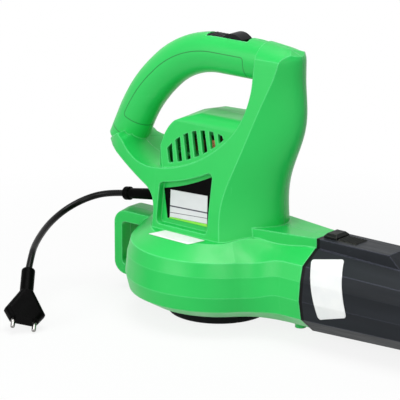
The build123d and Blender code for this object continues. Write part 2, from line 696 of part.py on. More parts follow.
def housing():
    """Whole shell: hollowed, ribbed, and cut for everything that passes through it."""
    motor = motor_space()
    fan = fan_space()
    shape = housing_outside() - motor - fan
    shape += inner_ribs() & motor
    for x, y in grille_screw_places():
        shape += upright(GRILLE_BOSS_RADIUS, BASE, BASE + WALL + GRILLE_BOSS_HEIGHT, x, y)
        shape -= upright(GRILLE_SCREW_SHANK + SCREW_FIT, 0, BASE + GRILLE_SCREW_REACH, x, y)
    shape -= plate_recess(0, RECESS_DEPTH)
    shape -= vents()
    shape -= upright(INTAKE_RADIUS, 0, BASE + 2 * WALL)
    shape -= upright(SHAFT_SHOULDER_RADIUS + SHAFT_CLEARANCE, DECK - 2 * WALL, DECK)
    shape -= along_cord(-BOSS_INSIDE - WALL, BOSS_LENGTH + WALL, SLEEVE_RADIUS + FIT)
    shape -= along_cord(-FLANGE_SET_IN - FIT, FLANGE_THICKNESS - FLANGE_SET_IN + FIT, FLANGE_RADIUS + FIT)
    shape -= block(*SWITCH_RECESS, SWITCH_BAY_HALF_WIDTH, SWITCH_FLOOR, GRIP_TOP + WALL)
    shape -= block(*STEM_SLOT, STEM_HALF_WIDTH + SWITCH_GAP, SWITCH_UNDERSIDE - WALL, SWITCH_FLOOR)
    shape -= block(HOOK_X - FIT, HOOK_X + HOOK_LENGTH + FIT, TONGUE_HALF_WIDTH + FIT, TONGUE_TOP, HOOK_TOP + FIT)
    for x, z, seat in screw_places():
        shape -= crosswise(SCREW_RADIUS + SCREW_FIT, -SCREW_REACH - FIT, seat, x, z)
        shape -= crosswise(SCREW_HEAD_RADIUS + FIT, seat, HIDDEN_DEPTH, x, z)
    return shape


def duct_section(x, inset, wide=1.0, tall=1.0):
    """Twelve-sided section of the duct, the tube and the nozzle."""
    corners = section_corners(inset, wide, tall)
    points = [(half, rise) for half, rise in corners] + [(-half, rise) for half, rise in reversed(corners)]
    return Plane.YZ.offset(x) * Pos(0, SCROLL_MID_HEIGHT) * make_face(Polyline(*points, close=True))


def duct_run(x_from, x_to, inset, share_from=(1.0, 1.0), share_to=(1.0, 1.0)):
    """Stretch of the section from one size to another."""
    return loft([duct_section(x_from, inset, *share_from), duct_section(x_to, inset, *share_to)], ruled=True)


TUBE_START = OUTLET_X + FIT
TUBE_END = TUBE_START + TUBE_LENGTH
SPIGOT_INSET = WALL + FIT
TUBE_SHARE = (TUBE_END_SHARE, TUBE_END_SHARE)
FULL_SHARE = (1.0, 1.0)
BUTTON_X = TUBE_START + BUTTON_START
BUTTON_END = BUTTON_X + BUTTON_LENGTH
PIVOT_X = BUTTON_END - BUTTON_PIVOT_SETBACK
PIVOT_Z = RIDGE_TOP - BUTTON_PIVOT_DROP
TUBE_RIDGE_END = TUBE_START + TUBE_RIDGE_LENGTH


def blow_tube():
    """Tapered tube with the spigot that enters the duct and the ridge that carries the latch."""
    outside = duct_run(TUBE_START, TUBE_END, 0, FULL_SHARE, TUBE_SHARE)
    ridge_outline = make_face(Polyline(
        (TUBE_START, SCROLL_MID_HEIGHT), (TUBE_START, RIDGE_TOP), (TUBE_RIDGE_END - TUBE_RIDGE_SLOPE, RIDGE_TOP),
        (TUBE_RIDGE_END, DECK - RIDGE_ROOF), (TUBE_RIDGE_END, SCROLL_MID_HEIGHT),
        close=True,
    ))
    tube = outside + slab(ridge_outline, RIDGE_FRONT_HALF_WIDTH)
    hollow = block(
        OUTLET_X, TUBE_RIDGE_END - TUBE_RIDGE_SLOPE - TUBE_WALL, RIDGE_FRONT_HALF_WIDTH - TUBE_WALL,
        SCROLL_MID_HEIGHT, RIDGE_TOP - TUBE_WALL,
    )
    tube -= hollow - outside
    tube -= block(
        BUTTON_X - BUTTON_GAP, BUTTON_END + BUTTON_GAP, BUTTON_HALF_WIDTH + BUTTON_GAP,
        RIDGE_TOP - 2 * TUBE_WALL, RIDGE_TOP + TUBE_WALL,
    )
    tube += duct_run(OUTLET_X - SPIGOT_LENGTH, TUBE_START, SPIGOT_INSET)
    tube -= duct_run(TUBE_START + RIDGE_ROOF, TUBE_END, TUBE_WALL, FULL_SHARE, TUBE_SHARE)
    tube -= duct_run(OUTLET_X - SPIGOT_LENGTH, TUBE_START + RIDGE_ROOF, SPIGOT_INSET + TUBE_WALL)
    tube -= crosswise(
        RELEASE_PIN_RADIUS + RUNNING_FIT, -RELEASE_PIN_HALF_LENGTH - FIT, RELEASE_PIN_HALF_LENGTH + FIT, PIVOT_X, PIVOT_Z,
    )
    return tube


def nozzle():
    """Front section that slips into the tube and flattens towards its mouth."""
    start = TUBE_END + FIT
    end = start + NOZZLE_LENGTH
    mouth = (NOZZLE_WIDTH_SHARE, NOZZLE_HEIGHT_SHARE)
    spigot_inset = TUBE_WALL + FIT
    shape = duct_run(start, end, 0, TUBE_SHARE, mouth)
    shape += duct_run(TUBE_END - NOZZLE_SPIGOT, start, spigot_inset, TUBE_SHARE, TUBE_SHARE)
    shape -= duct_run(start + RIDGE_ROOF, end, TUBE_WALL, TUBE_SHARE, mouth)
    shape -= duct_run(TUBE_END - NOZZLE_SPIGOT, start + RIDGE_ROOF, spigot_inset + TUBE_WALL, TUBE_SHARE, TUBE_SHARE)
    return shape


def release_button():
    """Rocking lid in the tube's ridge, with ribbed pad, raised block and the hooked tongue."""
    underside = RIDGE_TOP - BUTTON_THICKNESS
    shape = block(BUTTON_X, BUTTON_END, BUTTON_HALF_WIDTH, underside, RIDGE_TOP)
    raised = block(BUTTON_X, BUTTON_X + BUTTON_BLOCK_LENGTH, BUTTON_HALF_WIDTH, underside, RIDGE_TOP + BUTTON_BLOCK_RISE)
    shape += chamfer(raised.faces().sort_by(Axis.Z)[-1].edges(), BUTTON_BLOCK_RISE / 2)
    pad = BUTTON_LENGTH - BUTTON_BLOCK_LENGTH
    for index in range(BUTTON_RIBS):
        x = BUTTON_X + BUTTON_BLOCK_LENGTH + (index + 0.5) * pad / BUTTON_RIBS
        rib = make_face(Polyline((-BUTTON_RIB_WIDTH, 0), (BUTTON_RIB_WIDTH, 0), (0, BUTTON_RIB_WIDTH), close=True))
        shape += Pos(x, 0, RIDGE_TOP) * slab(rib, BUTTON_HALF_WIDTH - BUTTON_RIB_WIDTH)
    tongue_bottom = TONGUE_TOP - TONGUE_THICKNESS
    shape += block(HOOK_X, BUTTON_X + BUTTON_BLOCK_LENGTH / 2, TONGUE_HALF_WIDTH, tongue_bottom, TONGUE_TOP)
    shape += block(BUTTON_X, BUTTON_X + BUTTON_BLOCK_LENGTH / 2, TONGUE_HALF_WIDTH, tongue_bottom, underside)
    shape += block(HOOK_X, HOOK_X + HOOK_LENGTH, TONGUE_HALF_WIDTH, TONGUE_TOP, HOOK_TOP)
    shape += crosswise(BUTTON_LUG_RADIUS, -BUTTON_HALF_WIDTH, BUTTON_HALF_WIDTH, PIVOT_X, PIVOT_Z)
    shape -= crosswise(
        RELEASE_PIN_RADIUS + RUNNING_FIT, -BUTTON_HALF_WIDTH, BUTTON_HALF_WIDTH, PIVOT_X, PIVOT_Z,
    )
    return shape


def release_pin():
    return crosswise(RELEASE_PIN_RADIUS, -RELEASE_PIN_HALF_LENGTH, RELEASE_PIN_HALF_LENGTH, PIVOT_X, PIVOT_Z)


def release_spring():
    """Bowed leaf under the button, standing on the tube."""
    x = BUTTON_X + SPRING_X
    seat = DECK - (1 - TUBE_END_SHARE) * DUCT_HALF_HEIGHT * (x - SPRING_HALF_LENGTH - TUBE_START) / TUBE_LENGTH
    rise = RIDGE_TOP - BUTTON_THICKNESS - seat - SPRING_GAUGE
    bow = ThreePointArc((x - SPRING_HALF_LENGTH, seat), (x, seat + rise), (x + SPRING_HALF_LENGTH, seat))
    return slab(make_face([
        bow,
        Line((x + SPRING_HALF_LENGTH, seat), (x + SPRING_HALF_LENGTH, seat + SPRING_GAUGE)),
        ThreePointArc(
            (x + SPRING_HALF_LENGTH, seat + SPRING_GAUGE), (x, seat + rise + SPRING_GAUGE),
            (x - SPRING_HALF_LENGTH, seat + SPRING_GAUGE),
        ),
        Line((x - SPRING_HALF_LENGTH, seat + SPRING_GAUGE), (x - SPRING_HALF_LENGTH, seat)),
    ]), SPRING_HALF_WIDTH)


def switch_button():
    """Sliding thumb switch: ribbed plate, hump at the front, stem through the floor of its recess."""
    bottom = SWITCH_FLOOR + FIT
    top = bottom + SWITCH_PLATE
    front = SWITCH_REAR_X + SWITCH_LENGTH
    shape = block(SWITCH_REAR_X, front, SWITCH_HALF_WIDTH, bottom, top)
    hump = make_face([
        Line((front - SWITCH_HUMP_LENGTH, top), (front, top)),
        ThreePointArc((front, top), (front - SWITCH_HUMP_LENGTH / 2, top + SWITCH_HUMP), (front - SWITCH_HUMP_LENGTH, top)),
    ])
    shape += slab(hump, SWITCH_HALF_WIDTH)
    flat = SWITCH_LENGTH - SWITCH_HUMP_LENGTH
    for index in range(SWITCH_RIBS):
        x = SWITCH_REAR_X + (index + 0.5) * flat / SWITCH_RIBS
        shape += block(x - SWITCH_GAP, x + SWITCH_GAP, SWITCH_HALF_WIDTH - 1, top, top + SWITCH_GAP)
    stem_bottom = SWITCH_UNDERSIDE - STEM_REACH
    shape += block(STEM_X - STEM_LENGTH / 2, STEM_X + STEM_LENGTH / 2, STEM_HALF_WIDTH, stem_bottom, bottom)
    return shape


def switch_body():
    """Switch block hung under the recess, with a slot for the stem."""
    bottom = SWITCH_UNDERSIDE - SWITCH_BODY_HEIGHT
    half = SWITCH_BODY_LENGTH / 2
    shape = block(SWITCH_BODY_X - half, SWITCH_BODY_X + half, SWITCH_BODY_HALF_WIDTH, bottom, SWITCH_UNDERSIDE)
    shape -= block(*STEM_SLOT, STEM_HALF_WIDTH + SWITCH_GAP, SWITCH_UNDERSIDE - STEM_REACH - FIT, SWITCH_UNDERSIDE)
    return shape


def intake_grille():
    """Round grille under the fan: rim that the blower stands on, rings and spokes, locating lip."""
    shape = upright(GRILLE_RADIUS, 0, BASE) - upright(GRILLE_RADIUS - GRILLE_RIM, 0, BASE)
    shape = fillet(shape.edges().filter_by(GeomType.CIRCLE).group_by(Axis.Z)[0].sort_by(SortBy.RADIUS)[-1], GRILLE_PLATE)
    lip = INTAKE_RADIUS - FIT
    bottom = BASE - 2 * GRILLE_PLATE
    shape += upright(GRILLE_RADIUS - GRILLE_RIM, bottom, BASE) - upright(lip - GRILLE_BAR, bottom, BASE)
    shape += upright(lip, BASE, BASE + WALL) - upright(lip - GRILLE_BAR, BASE, BASE + WALL)
    shape += upright(GRILLE_HUB_RADIUS, 0, bottom + GRILLE_PLATE)
    ring = upright(GRILLE_RING_RADIUS, bottom, bottom + GRILLE_PLATE)
    shape += ring - upright(GRILLE_RING_RADIUS - GRILLE_BAR, bottom, bottom + GRILLE_PLATE)
    for index in range(GRILLE_SPOKES):
        spoke = block(GRILLE_HUB_RADIUS - 1, lip - 1, GRILLE_BAR / 2, bottom, bottom + GRILLE_PLATE)
        shape += Rot(0, 0, index * 360 / GRILLE_SPOKES) * spoke
    for x, y in grille_screw_places():
        shape += upright(GRILLE_BOSS_RADIUS, 1, BASE, x, y)
        shape -= upright(GRILLE_SCREW_SHANK + SCREW_FIT, 0, BASE, x, y)
        shape -= upright(GRILLE_SCREW_HEAD + FIT, 0, GRILLE_SCREW_SEAT, x, y)
    return shape


def grille_screws():
    screws = []
    for x, y in grille_screw_places():
        head = upright(GRILLE_SCREW_HEAD, GRILLE_SCREW_SEAT - GRILLE_SCREW_HEAD_HEIGHT, GRILLE_SCREW_SEAT, x, y)
        screws.append(head + upright(GRILLE_SCREW_SHANK, GRILLE_SCREW_SEAT, BASE + GRILLE_SCREW_REACH - FIT, x, y))
    return Compound(children=screws)


def housing_screws():
    screws = []
    for x, z, seat in screw_places():
        head = crosswise(SCREW_HEAD_RADIUS, seat, seat + SCREW_HEAD_HEIGHT, x, z)
        screws.append(head + crosswise(SCREW_RADIUS, -SCREW_REACH, seat, x, z))
    return Compound(children=screws)


SHAFT_BORE = SHAFT_RADIUS + RUNNING_FIT


def impeller():
    """Radial fan: hub, back plate and curved blades that hang from it."""
    plate_bottom = FAN_TOP - FAN_PLATE
    shape = upright(FAN_RADIUS, plate_bottom, FAN_TOP) + upright(FAN_HUB_RADIUS, FAN_HUB_BOTTOM, FAN_TOP)
    sweep_angle = math.radians(FAN_BLADE_SWEEP)
    middle_radius = (FAN_EYE_RADIUS + FAN_RADIUS) / 2
    outer = FAN_RADIUS - FAN_BLADE_THICKNESS
    camber = ThreePointArc(
        (FAN_EYE_RADIUS, 0),
        (middle_radius * math.cos(sweep_angle * FAN_BLADE_BELLY), middle_radius * math.sin(sweep_angle * FAN_BLADE_BELLY)),
        (outer * math.cos(sweep_angle), outer * math.sin(sweep_angle)),
    )
    blade_plan = trace(camber, FAN_BLADE_THICKNESS)
    blade = Pos(0, 0, plate_bottom - FAN_BLADE_HEIGHT) * extrude(blade_plan, FAN_BLADE_HEIGHT)
    below = make_face(Polyline(
        (FAN_EYE_RADIUS, plate_bottom - FAN_BLADE_HEIGHT), (FAN_RADIUS, plate_bottom - FAN_BLADE_HEIGHT),
        (FAN_RADIUS, plate_bottom - FAN_BLADE_TIP_HEIGHT),
        close=True,
    ))
    blade -= revolve(Plane.XZ * below, Axis.Z)
    for index in range(FAN_BLADES):
        shape += Rot(0, 0, index * 360 / FAN_BLADES) * blade
    return shape - upright(SHAFT_BORE, FAN_HUB_BOTTOM, FAN_TOP)


def fan_washer():
    bottom = FAN_HUB_BOTTOM - WASHER_THICKNESS
    return upright(WASHER_RADIUS, bottom, FAN_HUB_BOTTOM) - upright(SHAFT_BORE, bottom, FAN_HUB_BOTTOM)


def fan_nut():
    top = FAN_HUB_BOTTOM - WASHER_THICKNESS
    flats = RegularPolygon(NUT_ACROSS / 2, 6, major_radius=False)
    return Pos(0, 0, top - NUT_HEIGHT) * extrude(flats, NUT_HEIGHT) - upright(SHAFT_BORE, top - NUT_HEIGHT, top)


def motor_shaft():
    """Shaft with the shoulder between the fan and the lower bearing."""
    return upright(SHAFT_RADIUS, SHAFT_BOTTOM, SHAFT_TOP) + upright(SHAFT_SHOULDER_RADIUS, FAN_TOP, DECK - FIT)


def bearing(radius, width, bottom):
    """Sealed ball bearing: rings with the shield set back between them."""
    shape = upright(radius, bottom, bottom + width) - upright(SHAFT_BORE, bottom, bottom + width)
    inner = SHAFT_RADIUS + (radius - SHAFT_RADIUS) / 3
    outer = radius - (radius - SHAFT_RADIUS) / 4
    for z in (bottom, bottom + width - FIT):
        shape -= upright(outer, z, z + FIT) - upright(inner, z, z + FIT)
    return shape


STATOR_TOP = STATOR_BOTTOM + STATOR_HEIGHT
STATOR_BORE = ARMATURE_RADIUS + AIR_GAP
COIL_RADIUS = STATOR_RADIUS - STATOR_YOKE - FIT


def pole_sectors(half_angle, radius):
    """Two fan-shaped prisms about the X axis, as high as the stator."""
    edge = (radius * math.cos(math.radians(half_angle)), radius * math.sin(math.radians(half_angle)))
    sector = make_face([
        Line((0, 0), (edge[0], -edge[1])),
        ThreePointArc((edge[0], -edge[1]), (radius, 0), edge),
        Line(edge, (0, 0)),
    ])
    prism = Pos(0, 0, STATOR_BOTTOM) * extrude(sector, STATOR_HEIGHT)
    return prism + Rot(0, 0, 180) * prism


def stator_core():
    """Stack of laminations: ring with flats on two sides and two poles that reach to the armature."""
    ring = upright(STATOR_RADIUS, STATOR_BOTTOM, STATOR_TOP)
    window = upright(STATOR_RADIUS - STATOR_YOKE, STATOR_BOTTOM, STATOR_TOP)
    window -= pole_sectors(STATOR_POLE_HALF_ANGLE, STATOR_RADIUS)
    shape = ring - window - upright(STATOR_BORE, STATOR_BOTTOM, STATOR_TOP)
    return shape & block(-STATOR_RADIUS, STATOR_RADIUS, STATOR_HALF_WIDTH, STATOR_BOTTOM, STATOR_TOP)


def field_coils():
    """Two saddle coils round the poles, passing through the windows and over the ends of the stator."""
    bottom = STATOR_BOTTOM - COIL_OVERHANG
    top = STATOR_TOP + COIL_OVERHANG
    ring = upright(COIL_RADIUS, bottom, top) - upright(STATOR_BORE + AIR_GAP, bottom, top)
    ring -= pole_sectors(STATOR_POLE_HALF_ANGLE + COIL_CLEAR_ANGLE, STATOR_RADIUS)
    coils = []
    for side in (-1, 1):
        half = Pos(side * STATOR_RADIUS, 0, STATOR_BOTTOM) * Box(2 * STATOR_RADIUS - 2 * FIT, 2 * STATOR_RADIUS, 4 * STATOR_HEIGHT)
        coils.append(ring & half)
    return Compound(children=coils)


def slot_bars(width, depth):
    """Ring of upright bars that fill the slots of the armature."""
    bars = []
    for index in range(ARMATURE_SLOTS):
        bar = Pos(ARMATURE_RADIUS - depth / 2, 0, STATOR_BOTTOM + STATOR_HEIGHT / 2) * Box(depth, width, STATOR_HEIGHT)
        bars.append(Rot(0, 0, index * 360 / ARMATURE_SLOTS) * bar)
    return bars


def armature_core():
    """Stack of slotted laminations on the shaft."""
    shape = upright(ARMATURE_RADIUS, STATOR_BOTTOM, STATOR_TOP) - upright(SHAFT_BORE, STATOR_BOTTOM, STATOR_TOP)
    for bar in slot_bars(ARMATURE_SLOT_WIDTH, ARMATURE_SLOT_DEPTH + FIT):
        shape -= bar
    return shape


def armature_windings():
    """Wire in the slots with the bundled turns at both ends."""
    shape = upright(WINDING_RADIUS, STATOR_BOTTOM - WINDING_HEIGHT, STATOR_BOTTOM)
    shape += upright(WINDING_RADIUS, STATOR_TOP, STATOR_TOP + WINDING_HEIGHT)
    rims = shape.edges().filter_by(GeomType.CIRCLE).sort_by(Axis.Z)
    shape = fillet([rims[0], rims[-1]], WINDING_HEIGHT / 2)
    shape -= upright(SHAFT_BORE, STATOR_BOTTOM - WINDING_HEIGHT, STATOR_TOP + WINDING_HEIGHT)
    inset = ARMATURE_RADIUS - WINDING_RADIUS
    for bar in slot_bars(ARMATURE_SLOT_WIDTH - 2 * RUNNING_FIT, ARMATURE_SLOT_DEPTH):
        shape += bar & upright(ARMATURE_RADIUS - inset / 2, STATOR_BOTTOM, STATOR_TOP)
    return shape


def commutator():
    """Copper drum with the flange to which the wires are soldered."""
    top = COMMUTATOR_BOTTOM + COMMUTATOR_HEIGHT
    shape = upright(COMMUTATOR_RADIUS, COMMUTATOR_BOTTOM, top)
    shape += upright(COMMUTATOR_RADIUS + COMMUTATOR_FLANGE, COMMUTATOR_BOTTOM - COMMUTATOR_FLANGE, COMMUTATOR_BOTTOM)
    return shape - upright(SHAFT_BORE, COMMUTATOR_BOTTOM - COMMUTATOR_FLANGE, top)


BRUSH_X = COMMUTATOR_RADIUS + BRUSH_GAP
HOLDER_X = COMMUTATOR_RADIUS + BRUSH_HOLDER_SET_BACK
HOLDER_END = HOLDER_X + BRUSH_HOLDER_LENGTH
HOLDER_HALF_WIDTH = BRUSH_WIDTH / 2 + BRUSH_GAP + BRUSH_HOLDER_WALL
HOLDER_TOP = BRUSH_SHELF_TOP + BRUSH_HEIGHT + 2 * BRUSH_GAP + 2 * BRUSH_HOLDER_WALL
BRUSH_BOTTOM = BRUSH_SHELF_TOP + BRUSH_HOLDER_WALL + BRUSH_GAP


def both_sides(shape):
    """The piece and its twin across the shaft."""
    return Compound(children=[shape, Rot(0, 0, 180) * shape])


def brush_holders():
    shape = block(HOLDER_X, HOLDER_END, HOLDER_HALF_WIDTH, BRUSH_SHELF_TOP, HOLDER_TOP)
    shape -= block(
        HOLDER_X, HOLDER_END - BRUSH_HOLDER_WALL, HOLDER_HALF_WIDTH - BRUSH_HOLDER_WALL,
        BRUSH_SHELF_TOP + BRUSH_HOLDER_WALL, HOLDER_TOP - BRUSH_HOLDER_WALL,
    )
    return both_sides(shape)


def carbon_brushes():
    return both_sides(block(BRUSH_X, BRUSH_X + BRUSH_LENGTH, BRUSH_WIDTH / 2, BRUSH_BOTTOM, BRUSH_BOTTOM + BRUSH_HEIGHT))


def strain_relief():
    """Rubber sleeve on the cord: flange held between the housing halves, taper, collar at the tip."""
    shape = along_cord(-BOSS_INSIDE, SLEEVE_LENGTH, SLEEVE_RADIUS, SLEEVE_TIP_RADIUS)
    shape += along_cord(-FLANGE_SET_IN, FLANGE_THICKNESS - FLANGE_SET_IN, FLANGE_RADIUS)
    collar = along_cord(SLEEVE_LENGTH - COLLAR_WIDTH, SLEEVE_LENGTH, COLLAR_RADIUS)
    return shape + fillet(collar.edges().filter_by(GeomType.CIRCLE), COLLAR_ROUND)


def cord_points():
    return [CORD_EXIT + CORD_DIRECTION * SLEEVE_LENGTH] + [Vector(*point) for point in CORD_ROUTE]


def cord():
    """Mains cord: straight runs joined by tangent arcs."""
    points = cord_points()
    radii = []
    for before, corner, after in zip(points, points[1:], points[2:]):
        arriving = corner - before
        leaving = after - corner
        turn = math.radians(arriving.get_angle(leaving))
        radii.append(0.45 * min(arriving.length, leaving.length) / math.tan(turn / 2))
    path = FilletPolyline(*points, radius=radii)
    start = Plane(origin=path @ 0, z_dir=path % 0)
    tube = sweep(start * Circle(CORD_DIAMETER / 2), path=path)
    expected = math.pi * CORD_DIAMETER ** 2 / 4 * path.length
    print("cord radii", [round(radius, 1) for radius in radii], "length", round(path.length, 1))
    print("cord volume share", round(tube.volume / expected, 4))
    return tube


def plug_plane(distance):
    """Cross-section plane of the plug, a distance along it from the end of the cord."""
    points = cord_points()
    axis = (points[-1] - points[-2]).normalized()
    return Plane(origin=points[-1] + axis * distance, x_dir=PLUG_SIDEWAYS, z_dir=axis)


def plug_section(distance, half_width, half_thickness):
    corner = min(half_width, half_thickness) * 0.8
    return plug_plane(distance) * RectangleRounded(2 * half_width, 2 * half_thickness, corner)


def plug_body():
    """Flat two-pin plug: round sleeve, sloping shoulders, and a face narrower than the middle."""
    sleeve = extrude(plug_plane(0) * Circle(PLUG_SLEEVE_RADIUS), PLUG_SLEEVE_LENGTH)
    sleeve = fillet(sleeve.edges().filter_by(GeomType.CIRCLE).sort_by(Axis.Z)[-1], PLUG_SLEEVE_ROUND)
    neck = plug_section(PLUG_SLEEVE_LENGTH, PLUG_NECK_HALF_WIDTH, PLUG_HALF_THICKNESS)
    middle = plug_section(PLUG_SLEEVE_LENGTH + PLUG_LENGTH * PLUG_WIDEST, PLUG_HALF_WIDTH, PLUG_HALF_THICKNESS)
    face = plug_section(PLUG_SLEEVE_LENGTH + PLUG_LENGTH, PLUG_FACE_HALF_WIDTH, PLUG_HALF_THICKNESS)
    return sleeve + loft([neck, middle], ruled=True) + loft([middle, face], ruled=True)


def plug_pins():
    pins = []
    start = PLUG_SLEEVE_LENGTH + PLUG_LENGTH
    for side in (-1, 1):
        pin = extrude(plug_plane(start) * Pos(side * PIN_SPACING / 2, 0) * Circle(PIN_RADIUS), PIN_LENGTH)
        pins.append(fillet(pin.edges().filter_by(GeomType.CIRCLE).sort_by(Axis.Z)[0], PIN_RADIUS / 2))
    return Compound(children=pins)


whole_housing = housing()
near_side = Pos(0, -HIDDEN_DEPTH, GRIP_TOP / 2) * Box(4 * OUTLET_X, 2 * HIDDEN_DEPTH, 2 * GRIP_TOP)

PIECES = {
    "housing_left": whole_housing & near_side,
    "housing_right": whole_housing - near_side,
    "housing_screws": housing_screws(),
    "switch_button": switch_button(),
    "switch_body": switch_body(),
    "blow_tube": blow_tube(),
    "nozzle": nozzle(),
    "release_button": release_button(),
    "release_pin": release_pin(),
    "release_spring": release_spring(),
    "intake_grille": intake_grille(),
    "grille_screws": grille_screws(),
    "impeller": impeller(),
    "fan_washer": fan_washer(),
    "fan_nut": fan_nut(),
    "motor_shaft": motor_shaft(),
    "lower_bearing": bearing(BEARING_RADIUS, BEARING_WIDTH, DECK),
    "upper_bearing": bearing(UPPER_BEARING_RADIUS, UPPER_BEARING_WIDTH, UPPER_BEARING_BOTTOM),
    "stator_core": stator_core(),
    "field_coils": field_coils(),
    "armature_core": armature_core(),
    "armature_windings": armature_windings(),
    "commutator": commutator(),
    "brush_holders": brush_holders(),
    "carbon_brushes": carbon_brushes(),
    "strain_relief": strain_relief(),
    "cord": cord(),
    "plug_body": plug_body(),
    "plug_pins": plug_pins(),
}
for name, piece in PIECES.items():
    print(name, piece.is_valid, len(piece.solids()))
    export_step(piece, f"parts/{name}.step")
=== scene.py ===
import math
from collections import Counter

import bpy
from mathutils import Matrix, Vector


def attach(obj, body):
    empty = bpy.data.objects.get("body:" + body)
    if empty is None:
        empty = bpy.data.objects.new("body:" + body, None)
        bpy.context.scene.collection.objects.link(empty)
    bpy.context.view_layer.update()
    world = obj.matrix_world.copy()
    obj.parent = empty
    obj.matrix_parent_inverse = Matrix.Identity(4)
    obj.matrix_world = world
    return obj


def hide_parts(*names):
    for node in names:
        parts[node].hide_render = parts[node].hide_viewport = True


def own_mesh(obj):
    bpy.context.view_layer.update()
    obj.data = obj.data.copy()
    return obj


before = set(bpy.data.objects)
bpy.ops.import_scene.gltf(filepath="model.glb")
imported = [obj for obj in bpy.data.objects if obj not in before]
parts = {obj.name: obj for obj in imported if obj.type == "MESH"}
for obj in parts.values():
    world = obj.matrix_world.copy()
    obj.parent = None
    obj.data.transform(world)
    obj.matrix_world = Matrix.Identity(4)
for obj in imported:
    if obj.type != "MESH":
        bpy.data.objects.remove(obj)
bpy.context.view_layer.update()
scene = bpy.context.scene
bpy.ops.object.select_all(action="DESELECT")

# Camera: a long lens off the near side, round towards the tube and a little above the deck, so
# that drum, handle and plug fill the square frame and the tube runs out of it on the right.
CAMERA_AZIMUTH = math.radians(39.5)
CAMERA_ELEVATION = math.radians(16.4)
CAMERA_DISTANCE = 2.463
AIM_RIGHT = -0.0171
AIM_UP = 0.0972
LENS_LENGTH = 246.3
SENSOR_WIDTH = 36
across = math.cos(CAMERA_ELEVATION)
rise = math.sin(CAMERA_ELEVATION)
view_right = Vector((math.cos(CAMERA_AZIMUTH), math.sin(CAMERA_AZIMUTH), 0))
view_up = Vector((-math.sin(CAMERA_AZIMUTH) * rise, math.cos(CAMERA_AZIMUTH) * rise, across))
view_back = Vector((math.sin(CAMERA_AZIMUTH) * across, -math.cos(CAMERA_AZIMUTH) * across, rise))
aim = AIM_RIGHT * view_right + AIM_UP * view_up
lens = bpy.data.cameras.new("studio_camera")
lens.lens = LENS_LENGTH
lens.sensor_width = SENSOR_WIDTH
camera = bpy.data.objects.new("studio_camera", lens)
camera.location = aim + CAMERA_DISTANCE * view_back
camera.rotation_euler = (math.pi / 2 - CAMERA_ELEVATION, 0, CAMERA_AZIMUTH)
scene.collection.objects.link(camera)
scene.camera = camera
scene.view_settings.view_transform = "Standard"

# Mains lead: a short two-core pigtail in a glossy black PVC sheath. It leaves its sleeve behind
# the housing, swings round to the near side and turns down into the plug.
LEAD_DIAMETER = 0.006
LEAD_ROUTE = [
    (-0.11014, 0, 0.08735),
    (-0.1312, 0, 0.08406),
    (-0.1492, -0.0088, 0.0779),
    (-0.1588, -0.0265, 0.0700),
    (-0.1565, -0.0505, 0.0636),
    (-0.1470, -0.0740, 0.0595),
    (-0.1355, -0.0960, 0.0555),
    (-0.1245, -0.1120, 0.0525),
    (-0.1169, -0.1245, 0.0430),
]
lead_line = bpy.data.curves.new("mains_lead", "CURVE")
lead_line.dimensions = "3D"
# The points' own radius sets the thickness, so the bevel is one unit deep
lead_line.bevel_depth = 1
lead_line.bevel_resolution = 8
lead_line.resolution_u = 16
lead_line.use_fill_caps = True
strand = lead_line.splines.new("NURBS")
strand.points.add(len(LEAD_ROUTE) - 1)
for point, place in zip(strand.points, LEAD_ROUTE):
    point.co = (*place, 1)
    point.radius = LEAD_DIAMETER / 2
strand.order_u = 3
strand.use_endpoint_u = True
lead = bpy.data.objects.new("mains_lead", lead_line)
scene.collection.objects.link(lead)
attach(lead, "base")
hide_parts("cord")

# First input, second input and output of a mix, for plain values and for colours
MIX_SOCKETS = {"FLOAT": (2, 3, 0), "RGBA": (6, 7, 2)}


def feed(tree, value, socket):
    """A socket takes either another socket's output or a plain value."""
    if isinstance(value, bpy.types.NodeSocket):
        tree.links.new(value, socket)
    else:
        socket.default_value = value


def arithmetic(tree, operation, first, second=0.0):
    """One step of arithmetic on masks and coordinates."""
    step = tree.nodes.new("ShaderNodeMath")
    step.operation = operation
    feed(tree, first, step.inputs[0])
    feed(tree, second, step.inputs[1])
    return step.outputs[0]


def between(tree, mask, first, second, kind="RGBA"):
    """Colour or plain value that goes from the first to the second as the mask rises."""
    first_socket, second_socket, result = MIX_SOCKETS[kind]
    mix = tree.nodes.new("ShaderNodeMix")
    mix.data_type = kind
    feed(tree, mask, mix.inputs[0])
    feed(tree, first, mix.inputs[first_socket])
    feed(tree, second, mix.inputs[second_socket])
    return mix.outputs[result]


def ramp(tree, value, low, high, from_low=0.3, from_high=0.7):
    """A value brought from one range, by default that of the noise, into another."""
    stretch = tree.nodes.new("ShaderNodeMapRange")
    feed(tree, value, stretch.inputs["Value"])
    limits = {"From Min": from_low, "From Max": from_high, "To Min": low, "To Max": high}
    for socket, number in limits.items():
        stretch.inputs[socket].default_value = number
    return stretch.outputs[0]


def noise(tree, place, scale, detail):
    """Cloudy values over the surface."""
    cloud = tree.nodes.new("ShaderNodeTexNoise")
    feed(tree, place, cloud.inputs["Vector"])
    feed(tree, scale, cloud.inputs["Scale"])
    cloud.inputs["Detail"].default_value = detail
    return cloud.outputs["Fac"]


def place_on(tree):
    """X, Y and Z of a place on the surface, in the object's own frame."""
    split = tree.nodes.new("ShaderNodeSeparateXYZ")
    feed(tree, tree.nodes.new("ShaderNodeTexCoord").outputs["Object"], split.inputs[0])
    return split.outputs


